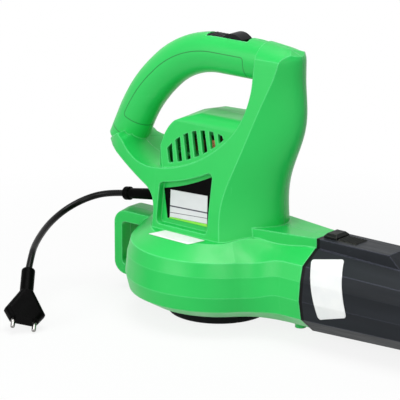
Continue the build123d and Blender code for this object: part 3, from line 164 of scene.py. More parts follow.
def new_group(name, inputs, outputs):
    """Empty effect with named sockets."""
    group = bpy.data.node_groups.new(name, "ShaderNodeTree")
    for socket, start in inputs.items():
        entry = group.interface.new_socket(socket, in_out="INPUT", socket_type="NodeSocketFloat")
        entry.default_value = start
    for socket, kind in outputs.items():
        group.interface.new_socket(socket, in_out="OUTPUT", socket_type=kind)
    return group, group.nodes.new("NodeGroupInput"), group.nodes.new("NodeGroupOutput")


# Skin of a moulded or drawn piece: slow drift of its tone, a finer drift of its gloss and the
# grain of the tool it was made in. All three can be stretched along the length.
GLOSS_FINER = 7.0
skin, skin_in, skin_out = new_group(
    "made_skin", {"Drift": 9.0, "Grain": 1500.0, "Stretch": 1.0},
    {"Tone": "NodeSocketFloat", "Gloss": "NodeSocketFloat", "Grain": "NodeSocketFloat"},
)
skin_x, skin_y, skin_z = place_on(skin)
drawn = skin.nodes.new("ShaderNodeCombineXYZ")
feed(skin, arithmetic(skin, "DIVIDE", skin_x, skin_in.outputs["Stretch"]), drawn.inputs["X"])
feed(skin, skin_y, drawn.inputs["Y"])
feed(skin, skin_z, drawn.inputs["Z"])
drawn_place = drawn.outputs["Vector"]
feed(skin, noise(skin, drawn_place, skin_in.outputs["Drift"], detail=4), skin_out.inputs["Tone"])
gloss_drift = arithmetic(skin, "MULTIPLY", skin_in.outputs["Drift"], GLOSS_FINER)
feed(skin, noise(skin, drawn_place, gloss_drift, detail=3), skin_out.inputs["Gloss"])
feed(skin, noise(skin, drawn_place, skin_in.outputs["Grain"], detail=2), skin_out.inputs["Grain"])

# Edges: every moulded edge has a small radius, and a paler tone is painted on it as a highlight,
# less on a blunt edge than on a square one.
EDGE_GAIN = 26.0
edges, edges_in, edges_out = new_group(
    "rounded_edges", {"Radius": 0.001}, {"Normal": "NodeSocketVector", "Edge_highlight": "NodeSocketFloat"},
)
rounding = edges.nodes.new("ShaderNodeBevel")
feed(edges, edges_in.outputs["Radius"], rounding.inputs["Radius"])
facing = edges.nodes.new("ShaderNodeVectorMath")
facing.operation = "DOT_PRODUCT"
feed(edges, rounding.outputs["Normal"], facing.inputs[0])
feed(edges, edges.nodes.new("ShaderNodeNewGeometry").outputs["Normal"], facing.inputs[1])
turned = arithmetic(edges, "SUBTRACT", 1.0, facing.outputs["Value"])
edge_highlight = arithmetic(edges, "MINIMUM", arithmetic(edges, "MULTIPLY", turned, EDGE_GAIN), 1.0)
feed(edges, edge_highlight, edges_out.inputs["Edge_highlight"])
feed(edges, rounding.outputs["Normal"], edges_out.inputs["Normal"])

# Finishes: each material has two tones that drift into each other, a paler tone painted on its
# edges as a highlight, a range of roughness and the relief of its grain.
GRAIN_STRENGTH = 0.5


def finish_for(name, deep, pale, highlight_tone, gloss, drift=9.0, grain=1500.0, stretch=1.0, depth=0.00004,
               radius=0.0008, metal=0.0, shine=0.5, blunt=1.0, highlight_strength=0.45):
    """Finish of one material: two tones, a paler edge tone painted as a highlight and its range of
    roughness.

    A lower blunt value paints the highlight on the blunt edges too, and the highlight strength is how
    pale the sharpest edge is painted.
    """
    material = bpy.data.materials.new(name)
    material.use_nodes = True
    tree = material.node_tree
    shader = tree.nodes["Principled BSDF"]
    surface = tree.nodes.new("ShaderNodeGroup")
    surface.node_tree = skin
    surface.inputs["Drift"].default_value = drift
    surface.inputs["Grain"].default_value = grain
    surface.inputs["Stretch"].default_value = stretch
    rim = tree.nodes.new("ShaderNodeGroup")
    rim.node_tree = edges
    rim.inputs["Radius"].default_value = radius
    tone = ramp(tree, surface.outputs["Tone"], 0.0, 1.0)
    colour = between(tree, tone, (*deep, 1), (*pale, 1))
    # Painted highlight: the edges are mixed towards the paler tone
    highlight_share = arithmetic(tree, "MULTIPLY", arithmetic(tree, "POWER", rim.outputs["Edge_highlight"], blunt), highlight_strength)
    colour = between(tree, highlight_share, colour, (*highlight_tone, 1))
    feed(tree, colour, shader.inputs["Base Color"])
    feed(tree, ramp(tree, surface.outputs["Gloss"], *gloss), shader.inputs["Roughness"])
    relief = tree.nodes.new("ShaderNodeBump")
    relief.inputs["Strength"].default_value = GRAIN_STRENGTH
    relief.inputs["Distance"].default_value = depth
    feed(tree, surface.outputs["Grain"], relief.inputs["Height"])
    feed(tree, rim.outputs["Normal"], relief.inputs["Normal"])
    feed(tree, relief.outputs["Normal"], shader.inputs["Normal"])
    shader.inputs["Metallic"].default_value = metal
    shader.inputs["Specular IOR Level"].default_value = shine
    return material


def coat(piece, material):
    """Gives a piece one finish all over."""
    piece.data.materials.clear()
    piece.data.materials.append(material)


def dress(material, *names):
    """Gives CAD nodes their finish."""
    for name in names:
        coat(parts[name], material)


coat(lead, finish_for(
    "lead_sheath", (0.001, 0.001, 0.001), (0.003, 0.003, 0.003), (0.008, 0.008, 0.008), (0.2, 0.3),
    drift=60, grain=900, depth=0.00002, shine=0.12))

# Motor: steel shaft, ball bearings, washer and nut, ground or turned bright, with the fine grain
# that the tool leaves.
turned_steel = finish_for(
    "turned_steel", (0.42, 0.42, 0.43), (0.58, 0.58, 0.59), (0.75, 0.75, 0.75), (0.2, 0.34),
    drift=30, grain=2600, metal=1.0, radius=0.0004)
dress(turned_steel, "motor_shaft", "lower_bearing", "upper_bearing", "fan_washer", "fan_nut")

# Cores: stacked lamination sheets of the stator and the armature, blue-grey from annealing,
# with a line at each sheet.
SHEET_THICKNESS = 0.0005
SHEET_RELIEF = 0.4


def ridged(material, height, distance):
    """Lays ridges over a finish's own grain."""
    tree = material.node_tree
    normal = tree.nodes["Principled BSDF"].inputs["Normal"]
    ridges = tree.nodes.new("ShaderNodeBump")
    ridges.inputs["Distance"].default_value = distance
    feed(tree, height, ridges.inputs["Height"])
    feed(tree, normal.links[0].from_socket, ridges.inputs["Normal"])
    feed(tree, ridges.outputs["Normal"], normal)


laminations = finish_for(
    "lamination_stack", (0.1, 0.105, 0.12), (0.17, 0.175, 0.19), (0.35, 0.35, 0.36), (0.35, 0.5),
    drift=40, grain=1800, metal=1.0, radius=0.0003)
stack = laminations.node_tree
sheet = arithmetic(stack, "PINGPONG", place_on(stack)["Z"], SHEET_THICKNESS / 2)
ridged(laminations, sheet, SHEET_RELIEF)
dress(laminations, "stator_core", "armature_core")

# Windings: enamelled copper wire laid in turns side by side, its copper painted dark as the shade
# inside the housing.
WIRE_PITCH = 0.0007
WIRE_RELIEF = 0.8
copper = finish_for(
    "enamelled_copper_shaded", (0.05, 0.016, 0.007), (0.09, 0.03, 0.012), (0.16, 0.06, 0.025), (0.24, 0.36),
    drift=120, grain=1500, metal=1.0, radius=0.0006)
wound = copper.node_tree
wound_place = place_on(wound)
across_wires = arithmetic(wound, "ADD", wound_place["X"], wound_place["Y"])
wire = arithmetic(wound, "PINGPONG", across_wires, WIRE_PITCH / 2)
ridged(copper, wire, WIRE_RELIEF)
dress(copper, "field_coils", "armature_windings")

# Brush gear: copper commutator, folded brass brush boxes painted dark as the shade inside the
# housing, and brushes of pressed carbon.
dress(finish_for(
    "commutator_copper", (0.45, 0.17, 0.07), (0.62, 0.27, 0.13), (0.7, 0.4, 0.25), (0.2, 0.4),
    drift=80, metal=1.0, radius=0.0003), "commutator")
dress(finish_for(
    "folded_brass_shaded", (0.10, 0.065, 0.02), (0.15, 0.10, 0.035), (0.3, 0.22, 0.1), (0.35, 0.5),
    drift=60, metal=1.0, radius=0.0004), "brush_holders")
dress(finish_for(
    "pressed_carbon", (0.012, 0.012, 0.013), (0.03, 0.03, 0.031), (0.06, 0.06, 0.06), (0.5, 0.7),
    drift=300, grain=3500), "carbon_brushes")

# Fan: one moulding of black nylon with curved blades, satin from its tool. It shows only through
# the intake.
fan_nylon = finish_for(
    "fan_nylon", (0.002, 0.002, 0.003), (0.006, 0.007, 0.007), (0.02, 0.02, 0.02), (0.36, 0.5),
    shine=0.14)
dress(fan_nylon, "impeller")

# Housing halves: two shells of glossy green ABS, screwed together on the middle plane. The grip
# has an inlaid panel bounded by a fine groove, and a joint line rings the foot of the grip.
# Both are placed from the grip's middle line: a straight foot, an elbow, a shoulder and a level front.
GRIP_FOOT = (-0.112, 0.13)
GRIP_LEAN = (0.4292, 0.9032)
ELBOW_START = 0.0381
ELBOW_CENTRE = (0.03082, 0.10436)
ELBOW_RADIUS = 0.14
ELBOW_END = (-0.0604, 0.2107)
ELBOW_END_LEAN = (0.731, 0.6825)
SHOULDER_CENTRE = (0.00445, 0.1413)
SHOULDER_RADIUS = 0.095
GRIP_HEIGHT = 0.2363
GRIP_REACH = -0.019
GRIP_LOWEST = 0.14
PANEL_RISE = 0.0034
PANEL_FRONT_X = 0.0385
PANEL_START = 0.039
PANEL_CORNER = 0.003
RING_WAY = 0.0215
RING_FRONT_X = -0.07
ARM_HALF_WIDTH = 0.0172
GROOVE_HALF_WIDTH = 0.00045
GROOVE_SHADE = 0.8
GROOVE_GREEN = (0.006, 0.16, 0.03)
SEAM_HALF_WIDTH = 0.0003
SEAM_SHADE = 0.35
# The green's paler edge tone is a painted highlight along the housing's edges and creases
shell = finish_for(
    "green_abs", (0.010, 0.53, 0.082), (0.014, 0.6, 0.098), (0.14, 0.86, 0.3), (0.3, 0.42),
    drift=7, grain=1300, depth=0.00003, radius=0.0016, shine=0.4, blunt=0.5, highlight_strength=0.7)
grip_lines, grip_in, grip_out = new_group(
    "grip_lines", {"Width": GROOVE_HALF_WIDTH}, {"Groove": "NodeSocketFloat"},
)
grip_x, grip_y, grip_z = place_on(grip_lines)


def along_grip(operation, first, second=0.0):
    """One step of the grip's own coordinates."""
    return arithmetic(grip_lines, operation, first, second)


def from_line(start, direction):
    """Distance along a direction in the side view."""
    in_x = along_grip("MULTIPLY", along_grip("SUBTRACT", grip_x, start[0]), direction[0])
    in_z = along_grip("MULTIPLY", along_grip("SUBTRACT", grip_z, start[1]), direction[1])
    return along_grip("ADD", in_x, in_z)


def from_centre(centre):
    """Distance from a centre in the side view."""
    in_x = along_grip("ABSOLUTE", along_grip("SUBTRACT", grip_x, centre[0]))
    in_z = along_grip("ABSOLUTE", along_grip("SUBTRACT", grip_z, centre[1]))
    squares = along_grip("ADD", along_grip("POWER", in_x, 2.0), along_grip("POWER", in_z, 2.0))
    return along_grip("SQRT", squares)


def chosen(test, if_true, if_false):
    """One of two values, by a test of 0 or 1."""
    return between(grip_lines, test, if_false, if_true, "FLOAT")


def painted(material, mask, colour):
    """Paints the masked part of a finish in another colour."""
    tree = material.node_tree
    base = tree.nodes["Principled BSDF"].inputs["Base Color"]
    feed(tree, between(tree, mask, base.links[0].from_socket, (*colour, 1)), base)


foot_way = from_line(GRIP_FOOT, GRIP_LEAN)
rise_foot = from_line(GRIP_FOOT, (-GRIP_LEAN[1], GRIP_LEAN[0]))
rise_elbow = along_grip("SUBTRACT", from_centre(ELBOW_CENTRE), ELBOW_RADIUS)
rise_shoulder = along_grip("SUBTRACT", from_centre(SHOULDER_CENTRE), SHOULDER_RADIUS)
rise_front = along_grip("SUBTRACT", grip_z, GRIP_HEIGHT)
past_foot = along_grip("GREATER_THAN", foot_way, ELBOW_START)
past_elbow = along_grip("GREATER_THAN", from_line(ELBOW_END, ELBOW_END_LEAN), 0.0)
past_shoulder = along_grip("GREATER_THAN", grip_x, SHOULDER_CENTRE[0])
grip_rise = chosen(past_foot, rise_elbow, rise_foot)
grip_rise = chosen(past_elbow, rise_shoulder, grip_rise)
grip_rise = chosen(past_shoulder, rise_front, grip_rise)
over = along_grip("MAXIMUM", along_grip("SUBTRACT", grip_rise, PANEL_RISE - PANEL_CORNER), 0.0)
ahead = along_grip("MAXIMUM", along_grip("SUBTRACT", grip_x, PANEL_FRONT_X - PANEL_CORNER), 0.0)
below = along_grip("MAXIMUM", along_grip("SUBTRACT", PANEL_START + PANEL_CORNER, foot_way), 0.0)
squares = [along_grip("POWER", side, 2.0) for side in (over, ahead, below)]
squares_sum = along_grip("ADD", along_grip("ADD", squares[0], squares[1]), squares[2])
panel_way = along_grip("SQRT", squares_sum)
panel_edge = along_grip("ABSOLUTE", along_grip("SUBTRACT", panel_way, PANEL_CORNER))
on_panel = along_grip("LESS_THAN", panel_edge, grip_in.outputs["Width"])
ring_edge = along_grip("ABSOLUTE", along_grip("SUBTRACT", foot_way, RING_WAY))
on_ring = along_grip("LESS_THAN", ring_edge, grip_in.outputs["Width"])
at_rear = along_grip("LESS_THAN", grip_x, RING_FRONT_X)
on_arm = along_grip("LESS_THAN", along_grip("ABSOLUTE", grip_y), ARM_HALF_WIDTH)
on_ring = along_grip("MULTIPLY", along_grip("MULTIPLY", on_ring, at_rear), on_arm)
on_grip = along_grip("GREATER_THAN", grip_rise, GRIP_REACH)
above_arm = along_grip("GREATER_THAN", grip_z, GRIP_LOWEST)
lines = along_grip("MAXIMUM", on_panel, on_ring)
lines = along_grip("MULTIPLY", along_grip("MULTIPLY", lines, on_grip), above_arm)
feed(grip_lines, lines, grip_out.inputs["Groove"])

shell_tree = shell.node_tree
groove = shell_tree.nodes.new("ShaderNodeGroup")
groove.node_tree = grip_lines
groove.inputs["Width"].default_value = GROOVE_HALF_WIDTH
from_seam = arithmetic(shell_tree, "ABSOLUTE", place_on(shell_tree)["Y"])
seam = arithmetic(shell_tree, "LESS_THAN", from_seam, SEAM_HALF_WIDTH)
groove_mark = arithmetic(shell_tree, "MULTIPLY", groove.outputs["Groove"], GROOVE_SHADE)
seam_mark = arithmetic(shell_tree, "MULTIPLY", seam, SEAM_SHADE)
painted(shell, arithmetic(shell_tree, "MAXIMUM", groove_mark, seam_mark), GROOVE_GREEN)

# Housing skins: each half as it leaves the mould. The pillar's top falls to a rounded brow, the
# dome's roof is crowned and its front corner lies flush with the pillar. On the near side the
# drum's creases sit lower and the sole higher, and behind the arm the tail's walls are cut down.
TOP_FALL = 0.0042
TOP_FALL_RUN = (0.044, 0.084)
TOP_RISE = (0.232, 0.256)
# Height on the pillar's brow and how far it is moved
BROW_MOVES = [(0.222, 0), (0.239, 0.005), (0.258, -0.003)]
BROW_PULL = 0.003
BROW_RUN = (0.072, 0.092)
ROOF_CROWN = {"housing_left": 0.0065, "housing_right": 0.0105}
ROOF_HALF_WIDTH = 0.04
ROOF_RISE = (0.174, 0.184)
ROOF_LIMIT = 0.19
ROOF_END = (0.030, 0.046)
DOME_CORNER = Vector((0.042, 0.03631, 0.122))
SAME_PLACE = 0.0002
FLANK_Y = 0.0348
TAIL_WALL_INSIDE = 0.02
TAIL_WALL_END = -0.078
TAIL_WALL_DROP = {"housing_left": 0.005, "housing_right": 0.011}
TAIL_WALL_RISE = {"housing_left": (0.145, 0.157), "housing_right": (0.136, 0.157)}
TAIL_WALL_TOP = 0.1575
TAIL_WALL_ROOT = (0.014, 0.0165)
TAIL_NARROWING = 0.2
TAIL_RUN = (0.100, 0.112)
# Height of each crease of the drum, from the sole's foot up, and how far it is moved
CREASE_MOVES = [
    (0.007, 0),
    (0.010, 0.003),
    (0.0245, -0.0016),
    (0.042, -0.0054),
    (0.059, -0.0043),
    (0.0725, -0.0054),
    (0.086, -0.005),
    (0.106, 0),
]
SOLE_EDGE = (0.048, 0.062)
NEAR_SIDE = (0, 0.03)
DRUM_END = Vector((0.070, 0.098))
FOOT_END = Vector((0.036, 0.056))
FOOT_RISE = (0.072, 0.086)
SKIN_WELD = 0.000005


def passed(value, reach):
    """Share of a stretch that a place has passed, from 0 to 1."""
    return min(max((value - reach[0]) / (reach[1] - reach[0]), 0), 1)


def eased(value, reach):
    """The same share, with a soft start and end."""
    share = passed(value, reach)
    return share * share * (3 - 2 * share)


def move_at(height, moves):
    """How far a height is moved up, by a list of heights and moves."""
    for (low, low_move), (high, high_move) in zip(moves, moves[1:]):
        if low < height <= high:
            return low_move + (high_move - low_move) * passed(height, (low, high))
    return 0


def crease_move(x, y, z):
    """How far a place on the drum's near side is moved up."""
    move = move_at(z, CREASE_MOVES)
    if move > 0:
        return move * eased(math.hypot(x, y), SOLE_EDGE) * eased(-y, NEAR_SIDE)
    end = DRUM_END.lerp(FOOT_END, eased(z, FOOT_RISE))
    return move * eased(-y, NEAR_SIDE) * (1 - eased(x, end))


def on_skin(place, node, on_crease):
    """Where a place of a housing half lies on its skin."""
    x, y, z = place
    moved = Vector(place)
    if (Vector((x, abs(y), z)) - DOME_CORNER).length < SAME_PLACE:
        moved.y = math.copysign(FLANK_Y, y)
    drop = TOP_FALL * passed(x, TOP_FALL_RUN) * eased(z, TOP_RISE)
    if z < ROOF_LIMIT:
        crown = ROOF_CROWN[node] * (y / ROOF_HALF_WIDTH) ** 2 * (1 - eased(x, ROOF_END))
        drop += crown * eased(z, ROOF_RISE)
    if x < TAIL_WALL_END and abs(y) > TAIL_WALL_INSIDE:
        drop += TAIL_WALL_DROP[node] * eased(z, TAIL_WALL_RISE[node])
        moved.y = y * (1 - TAIL_NARROWING * eased(-x, TAIL_RUN))
    at_root = on_crease and TAIL_WALL_ROOT[0] < abs(y) < TAIL_WALL_ROOT[1]
    if x < TAIL_WALL_END and z < TAIL_WALL_TOP and at_root:
        drop += TAIL_WALL_DROP["housing_left"] * eased(z, TAIL_WALL_RISE["housing_left"])
    brow = eased(x, BROW_RUN)
    moved.z = z - drop + brow * move_at(z, BROW_MOVES) + crease_move(x, y, z)
    moved.x = x - BROW_PULL * brow * eased(z, TOP_RISE)
    return moved


def copied(name, node):
    """New piece with its own copy of a CAD node's mesh, picked for the next operators."""
    piece = bpy.data.objects.new(name, parts[node].data.copy())
    scene.collection.objects.link(piece)
    bpy.ops.object.select_all(action="DESELECT")
    bpy.context.view_layer.objects.active = piece
    piece.select_set(True)
    return piece


def weld(reach):
    """Joins the points of the picked piece that lie in one place."""
    bpy.ops.object.mode_set(mode="EDIT")
    bpy.ops.mesh.select_all(action="SELECT")
    bpy.ops.mesh.remove_doubles(threshold=reach)
    bpy.ops.object.mode_set(mode="OBJECT")


def moulded(name, node):
    """Skin of one housing half, drawn from its CAD node, with a crease where two faces meet."""
    piece = copied(name, node)
    bpy.ops.mesh.customdata_custom_splitnormals_clear()
    faces_at = Counter(key for face in piece.data.polygons for key in face.edge_keys)
    for edge in piece.data.edges:
        edge.use_edge_sharp = faces_at[edge.key] == 1
    weld(SKIN_WELD)
    creased = {index for edge in piece.data.edges if edge.use_edge_sharp for index in edge.vertices}
    for vertex in piece.data.vertices:
        vertex.co = on_skin(vertex.co, node, vertex.index in creased)
    coat(piece, shell)
    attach(piece, "base")
    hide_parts(node)
    return piece


near_skin = moulded("housing_skin_left", "housing_left")
moulded("housing_skin_right", "housing_right")

# Rating plate: a black film in the recess of the near half with a plain white table, two ruled
# lines and a bright strip along its foot.
PLATE_CORNERS = [(-0.0285, 0.0883), (0.0208, 0.0883), (0.0202, 0.1341), (-0.0355, 0.1136)]
PLATE_DIP = 0.0022
PLATE_COLUMNS = 16
PLATE_LIFT = 0.0003
PLATE_THICKNESS = 0.0004
TABLE_CORNERS = [(-0.0258, 0.0897), (0.0169, 0.0910), (0.0141, 0.1152), (-0.0279, 0.1136)]
STRIP_CORNERS = [(-0.0262, 0.0884), (0.0172, 0.0884), (0.0169, 0.0909), (-0.0258, 0.0896)]
PRINT_LIFT = 0.0006
PRINT_THICKNESS = 0.0002
# Height, slope and half width of each ruled line
TABLE_RULES = [(0.10005, 0.0281, 0.0006), (0.0950, 0.0539, 0.00025)]
RULE_GREY = (0.06, 0.06, 0.08)
SIDE_FOOT_Y = 0.0445
SIDE_FOOT_HEIGHT = 0.084
SIDE_LEAN = 0.163
RECESS_DEPTH = 0.0065


def recess_floor(height):
    """Y of the recess floor, which leans in with the housing's side."""
    return -(SIDE_FOOT_Y - SIDE_LEAN * (height - SIDE_FOOT_HEIGHT) - RECESS_DEPTH)


def thicken(piece, thickness):
    """Makes the picked sheet a thin solid, half of it on each side."""
    depth = piece.modifiers.new("thickness", "SOLIDIFY")
    depth.thickness = thickness
    depth.offset = 0
    bpy.ops.object.modifier_apply(modifier=depth.name)


def film(name, corners, lift, thickness, columns=1, dip=0.0):
    """Thin film on the recess floor between four corners; its top edge may sag between them."""
    low_rear, low_front, top_front, top_rear = corners
    bpy.ops.mesh.primitive_grid_add(x_subdivisions=columns, y_subdivisions=1, size=2)
    piece = bpy.context.object
    piece.name = name
    for vertex in piece.data.vertices:
        along = (vertex.co.x + 1) / 2
        up = (vertex.co.y + 1) / 2
        low = Vector(low_rear).lerp(Vector(low_front), along)
        top = Vector(top_rear).lerp(Vector(top_front), along)
        # The sag is nothing at both ends and full in the middle
        top.y -= dip * 4 * along * (1 - along)
        place = low.lerp(top, up)
        vertex.co = (place.x, recess_floor(place.y) - lift, place.y)
    thicken(piece, thickness)
    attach(piece, "base")
    return piece


plate = film("rating_plate", PLATE_CORNERS, PLATE_LIFT, PLATE_THICKNESS, PLATE_COLUMNS, PLATE_DIP)
coat(plate, finish_for(
    "plate_film", (0.0005, 0.0005, 0.0005), (0.0015, 0.0015, 0.0015), (0.003, 0.003, 0.003), (0.3, 0.4),
    drift=50, shine=0.03))
table = film("rating_table", TABLE_CORNERS, PRINT_LIFT, PRINT_THICKNESS)
table_white = finish_for(
    "table_white", (0.66, 0.68, 0.69), (0.72, 0.74, 0.75), (0.76, 0.77, 0.78), (0.4, 0.5),
    drift=80, grain=2500)
ruled = table_white.node_tree
ruled_place = place_on(ruled)


def rule(height, slope, half_width):
    """Mask of a ruled line across the table."""
    line = arithmetic(ruled, "ADD", arithmetic(ruled, "MULTIPLY", ruled_place["X"], slope), height)
    off = arithmetic(ruled, "ABSOLUTE", arithmetic(ruled, "SUBTRACT", ruled_place["Z"], line))
    return arithmetic(ruled, "LESS_THAN", off, half_width)


upper_rule, lower_rule = [rule(*sizes) for sizes in TABLE_RULES]
painted(table_white, arithmetic(ruled, "MAXIMUM", upper_rule, lower_rule), RULE_GREY)
coat(table, table_white)
strip = film("rating_strip", STRIP_CORNERS, PRINT_LIFT, PRINT_THICKNESS)
coat(strip, finish_for(
    "strip_green", (0.2, 0.72, 0.03), (0.26, 0.8, 0.05), (0.4, 0.85, 0.2), (0.35, 0.45), drift=60))

# Deck label: a plain strip of white film with round corners, pressed on to the drum's deck beside
# the housing. Each side edge is given by three points, upwards as the camera sees it.
DECK_LABEL_LEFT = [(-0.0181, -0.0767, 0.084), (-0.01575, -0.06785, 0.084), (-0.0134, -0.0590, 0.084)]
DECK_LABEL_RIGHT = [(0.0288, -0.0784, 0.084), (0.0311, -0.06935, 0.084), (0.0334, -0.0603, 0.084)]
DECK_LABEL_CORNER = 0.001
LABEL_LIFT = 0.0003
LABEL_THICKNESS = 0.0002
PRESS_FROM = 0.2
label_white = finish_for(
    "label_white", (0.84, 0.86, 0.86), (0.9, 0.91, 0.9), (0.92, 0.92, 0.92), (0.4, 0.55),
    drift=70, grain=2200)


def bowed(ends, along):
    """Point on an edge through its start, middle and end."""
    start, middle, end = [Vector(point) for point in ends]
    pull = 2 * middle - (start + end) / 2
    return start.lerp(pull, along).lerp(pull.lerp(end, along), along)


def pressed_on(name, left, right, carrier, columns, rows, corner):
    """Plain label between two bowed edges, pressed on to its carrier along the camera's view."""
    bpy.ops.mesh.primitive_grid_add(x_subdivisions=columns, y_subdivisions=rows, size=2)
    piece = bpy.context.object
    piece.name = name
    width = (Vector(right[1]) - Vector(left[1])).length
    height = (Vector(left[2]) - Vector(left[0])).length
    for vertex in piece.data.vertices:
        along = (vertex.co.x + 1) / 2
        # Rows crowd towards both ends, where the corners are round
        up = (1 + math.sin(vertex.co.y * math.pi / 2)) / 2
        to_corner = max(corner - min(up, 1 - up) * height, 0)
        cut_back = (corner - math.sqrt(corner ** 2 - to_corner ** 2)) / width
        along = cut_back + along * (1 - 2 * cut_back)
        place = bowed(left, up).lerp(bowed(right, up), along)
        spot, normal = carrier.ray_cast(place + PRESS_FROM * view_back, -view_back)[1:3]
        vertex.co = spot + LABEL_LIFT * normal
    thicken(piece, LABEL_THICKNESS)
    coat(piece, label_white)
    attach(piece, "base")


pressed_on(
    "deck_label", DECK_LABEL_LEFT, DECK_LABEL_RIGHT, near_skin,
    columns=32, rows=12, corner=DECK_LABEL_CORNER)

# Switch: a slide of the fan's black nylon in the top of the grip, over the switch's hidden body
# of the same nylon.
dress(fan_nylon, "switch_button", "switch_body")

# Blow tube and nozzle: twelve-sided blow mouldings of black polypropylene, streaked along the
# tube where the melt ran, with satin flats between edges painted pale as highlights, and painted
# shade on the end that plugs into the housing.
TUBE_SHADED_TO = 0.1232
TUBE_END_SHADE_BLACK = (0.0015, 0.0015, 0.002)
tube_black = finish_for(
    "tube_black", (0.010, 0.012, 0.015), (0.018, 0.021, 0.026), (0.13, 0.14, 0.19), (0.36, 0.5),
    drift=60, grain=1400, stretch=14.0, radius=0.0014, shine=0.12)
tube_tree = tube_black.node_tree
# Painted shade on the tube's end inside the housing's outlet
tube_end_shade = arithmetic(tube_tree, "LESS_THAN", place_on(tube_tree)["X"], TUBE_SHADED_TO)
painted(tube_black, tube_end_shade, TUBE_END_SHADE_BLACK)
dress(tube_black, "blow_tube", "nozzle")

# Latch: a ribbed button that rocks on a steel pin in the tube's ridge. A bowed leaf of spring
# steel holds it up and flattens as the button is pressed.
LEAF_WELD = 0.00001
LEAF_SMOOTH = math.radians(40)
# The latch's pale edge tone is a painted highlight on its ribs
dress(finish_for(
    "latch_black", (0.006, 0.007, 0.007), (0.010, 0.012, 0.011), (0.16, 0.16, 0.14), (0.4, 0.55),
    drift=40, radius=0.0006, shine=0.1), "release_button")
dress(turned_steel, "release_pin")
leaf = copied("latch_leaf", "release_spring")
weld(LEAF_WELD)
bpy.ops.object.shade_smooth_by_angle(angle=LEAF_SMOOTH)
coat(leaf, turned_steel)
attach(leaf, "base")
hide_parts("release_spring")
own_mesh(leaf)

# Tube label: a larger plain label with round corners, wrapped round three flats of the tube
# beside the outlet.
TUBE_LABEL_LEFT = [(0.1393, -0.036, 0.0287), (0.1307, -0.036, 0.0544), (0.1314, -0.036, 0.0808)]
TUBE_LABEL_RIGHT = [(0.1688, -0.036, 0.0368), (0.1634, -0.036, 0.0639), (0.1673, -0.036, 0.0878)]
TUBE_LABEL_CORNER = 0.003
pressed_on(
    "tube_label", TUBE_LABEL_LEFT, TUBE_LABEL_RIGHT, parts["blow_tube"],
    columns=24, rows=60, corner=TUBE_LABEL_CORNER)

# Intake: a moulded black grille over the fan's eye, duller than the fan, held by three screws
# under the drum.
dress(finish_for(
    "grille_black", (0.004, 0.005, 0.005), (0.010, 0.011, 0.011), (0.03, 0.03, 0.03), (0.45, 0.6),
    drift=30, shine=0.06), "intake_grille")

# Screws: six through the housing halves and three in the grille, in the bright steel of the
# shaft.
dress(turned_steel, "housing_screws", "grille_screws")

# Lead's far ends: a tapered sleeve where it leaves the housing and the plug moulded on to it,
# both in soft black PVC, and two nickel-plated pins.
soft_black = finish_for(
    "soft_black_pvc", (0.0005, 0.0005, 0.0005), (0.002, 0.002, 0.002), (0.012, 0.012, 0.012), (0.26, 0.4),
    drift=45, grain=1100, depth=0.00004, radius=0.0012, shine=0.02)
dress(soft_black, "strain_relief", "plug_body")
dress(finish_for(
    "nickel_plate", (0.2, 0.2, 0.19), (0.36, 0.35, 0.34), (0.62, 0.6, 0.58), (0.2, 0.34),
    drift=60, metal=1.0, radius=0.0005), "plug_pins")

# Studio: a white floor that reads white to the camera and lights the object softly from below.
# Soft boxes stand off both ends of the near side and high before it, and the strongest hangs
# overhead.
FLOOR_SIZE = 12
FLOOR_ROUGHNESS = 0.9
FLOOR_LIT = (0.55, 0.55, 0.55, 1)
FLOOR_SEEN = (0.86, 0.86, 0.86, 1)
WHITE = (1, 1, 1, 1)
SHADE_GLOW = 0.85
SHADE_REACH = (0.2, 0.5)
SKY_FILL = 0.08
LIGHT_AIM = Vector((0.02, 0, 0.1))


def seen_by_eye(tree):
    """Mask of what the camera sees, straight, through or by a glossy reflection."""
    path = tree.nodes.new("ShaderNodeLightPath")
    straight = path.outputs["Is Camera Ray"]
    either = arithmetic(tree, "MAXIMUM", straight, path.outputs["Is Transmission Ray"])
    return arithmetic(tree, "MAXIMUM", either, path.outputs["Is Glossy Ray"])


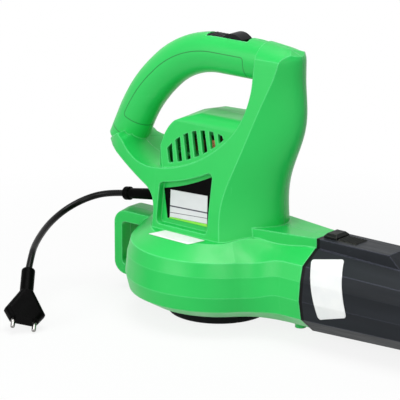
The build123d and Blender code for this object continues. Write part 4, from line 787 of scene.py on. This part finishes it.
def soft_box(name, place, size, power):
    """Square soft light that faces the drum."""
    lamp = bpy.data.lights.new(name, "AREA")
    lamp.size = size
    lamp.energy = power
    holder = bpy.data.objects.new(name, lamp)
    holder.location = place
    holder.rotation_euler = (LIGHT_AIM - Vector(place)).to_track_quat("-Z", "Y").to_euler()
    scene.collection.objects.link(holder)


bpy.ops.mesh.primitive_plane_add(size=FLOOR_SIZE, location=(0, 0, 0))
floor = bpy.context.object
floor.name = "studio_floor"
floor_white = bpy.data.materials.new("studio_white")
floor_white.use_nodes = True
sweep = floor_white.node_tree
sweep_shader = sweep.nodes["Principled BSDF"]
sweep_shader.inputs["Roughness"].default_value = FLOOR_ROUGHNESS
glow = sweep.nodes.new("ShaderNodeEmission")
glow.inputs["Color"].default_value = WHITE
floor_seen = seen_by_eye(sweep)
feed(sweep, between(sweep, floor_seen, FLOOR_LIT, FLOOR_SEEN), sweep_shader.inputs["Base Color"])
from_middle = sweep.nodes.new("ShaderNodeVectorMath")
from_middle.operation = "LENGTH"
feed(sweep, sweep.nodes.new("ShaderNodeTexCoord").outputs["Object"], from_middle.inputs[0])
floor_glow = ramp(sweep, from_middle.outputs["Value"], SHADE_GLOW, 1.0, *SHADE_REACH)
swap = sweep.nodes.new("ShaderNodeMixShader")
feed(sweep, arithmetic(sweep, "MULTIPLY", floor_seen, floor_glow), swap.inputs[0])
feed(sweep, sweep_shader.outputs[0], swap.inputs[1])
feed(sweep, glow.outputs[0], swap.inputs[2])
feed(sweep, swap.outputs[0], sweep.nodes["Material Output"].inputs["Surface"])
coat(floor, floor_white)

world = bpy.data.worlds.new("studio_world")
scene.world = world
world.use_nodes = True
sky = world.node_tree
backdrop = sky.nodes["Background"]
backdrop.inputs["Color"].default_value = WHITE
sky_strength = ramp(sky, seen_by_eye(sky), SKY_FILL, 1.0, from_low=0.0, from_high=1.0)
feed(sky, sky_strength, backdrop.inputs["Strength"])

soft_box("key_box", (-0.6, -1.9, 0.8), size=1.2, power=18)
soft_box("side_box", (1.2, -1.5, 0.7), size=1.0, power=10)
soft_box("front_box", (0.1, -1.2, 1.7), size=1.2, power=7)
soft_box("top_box", (0.0, 0.0, 2.0), size=1.2, power=26)
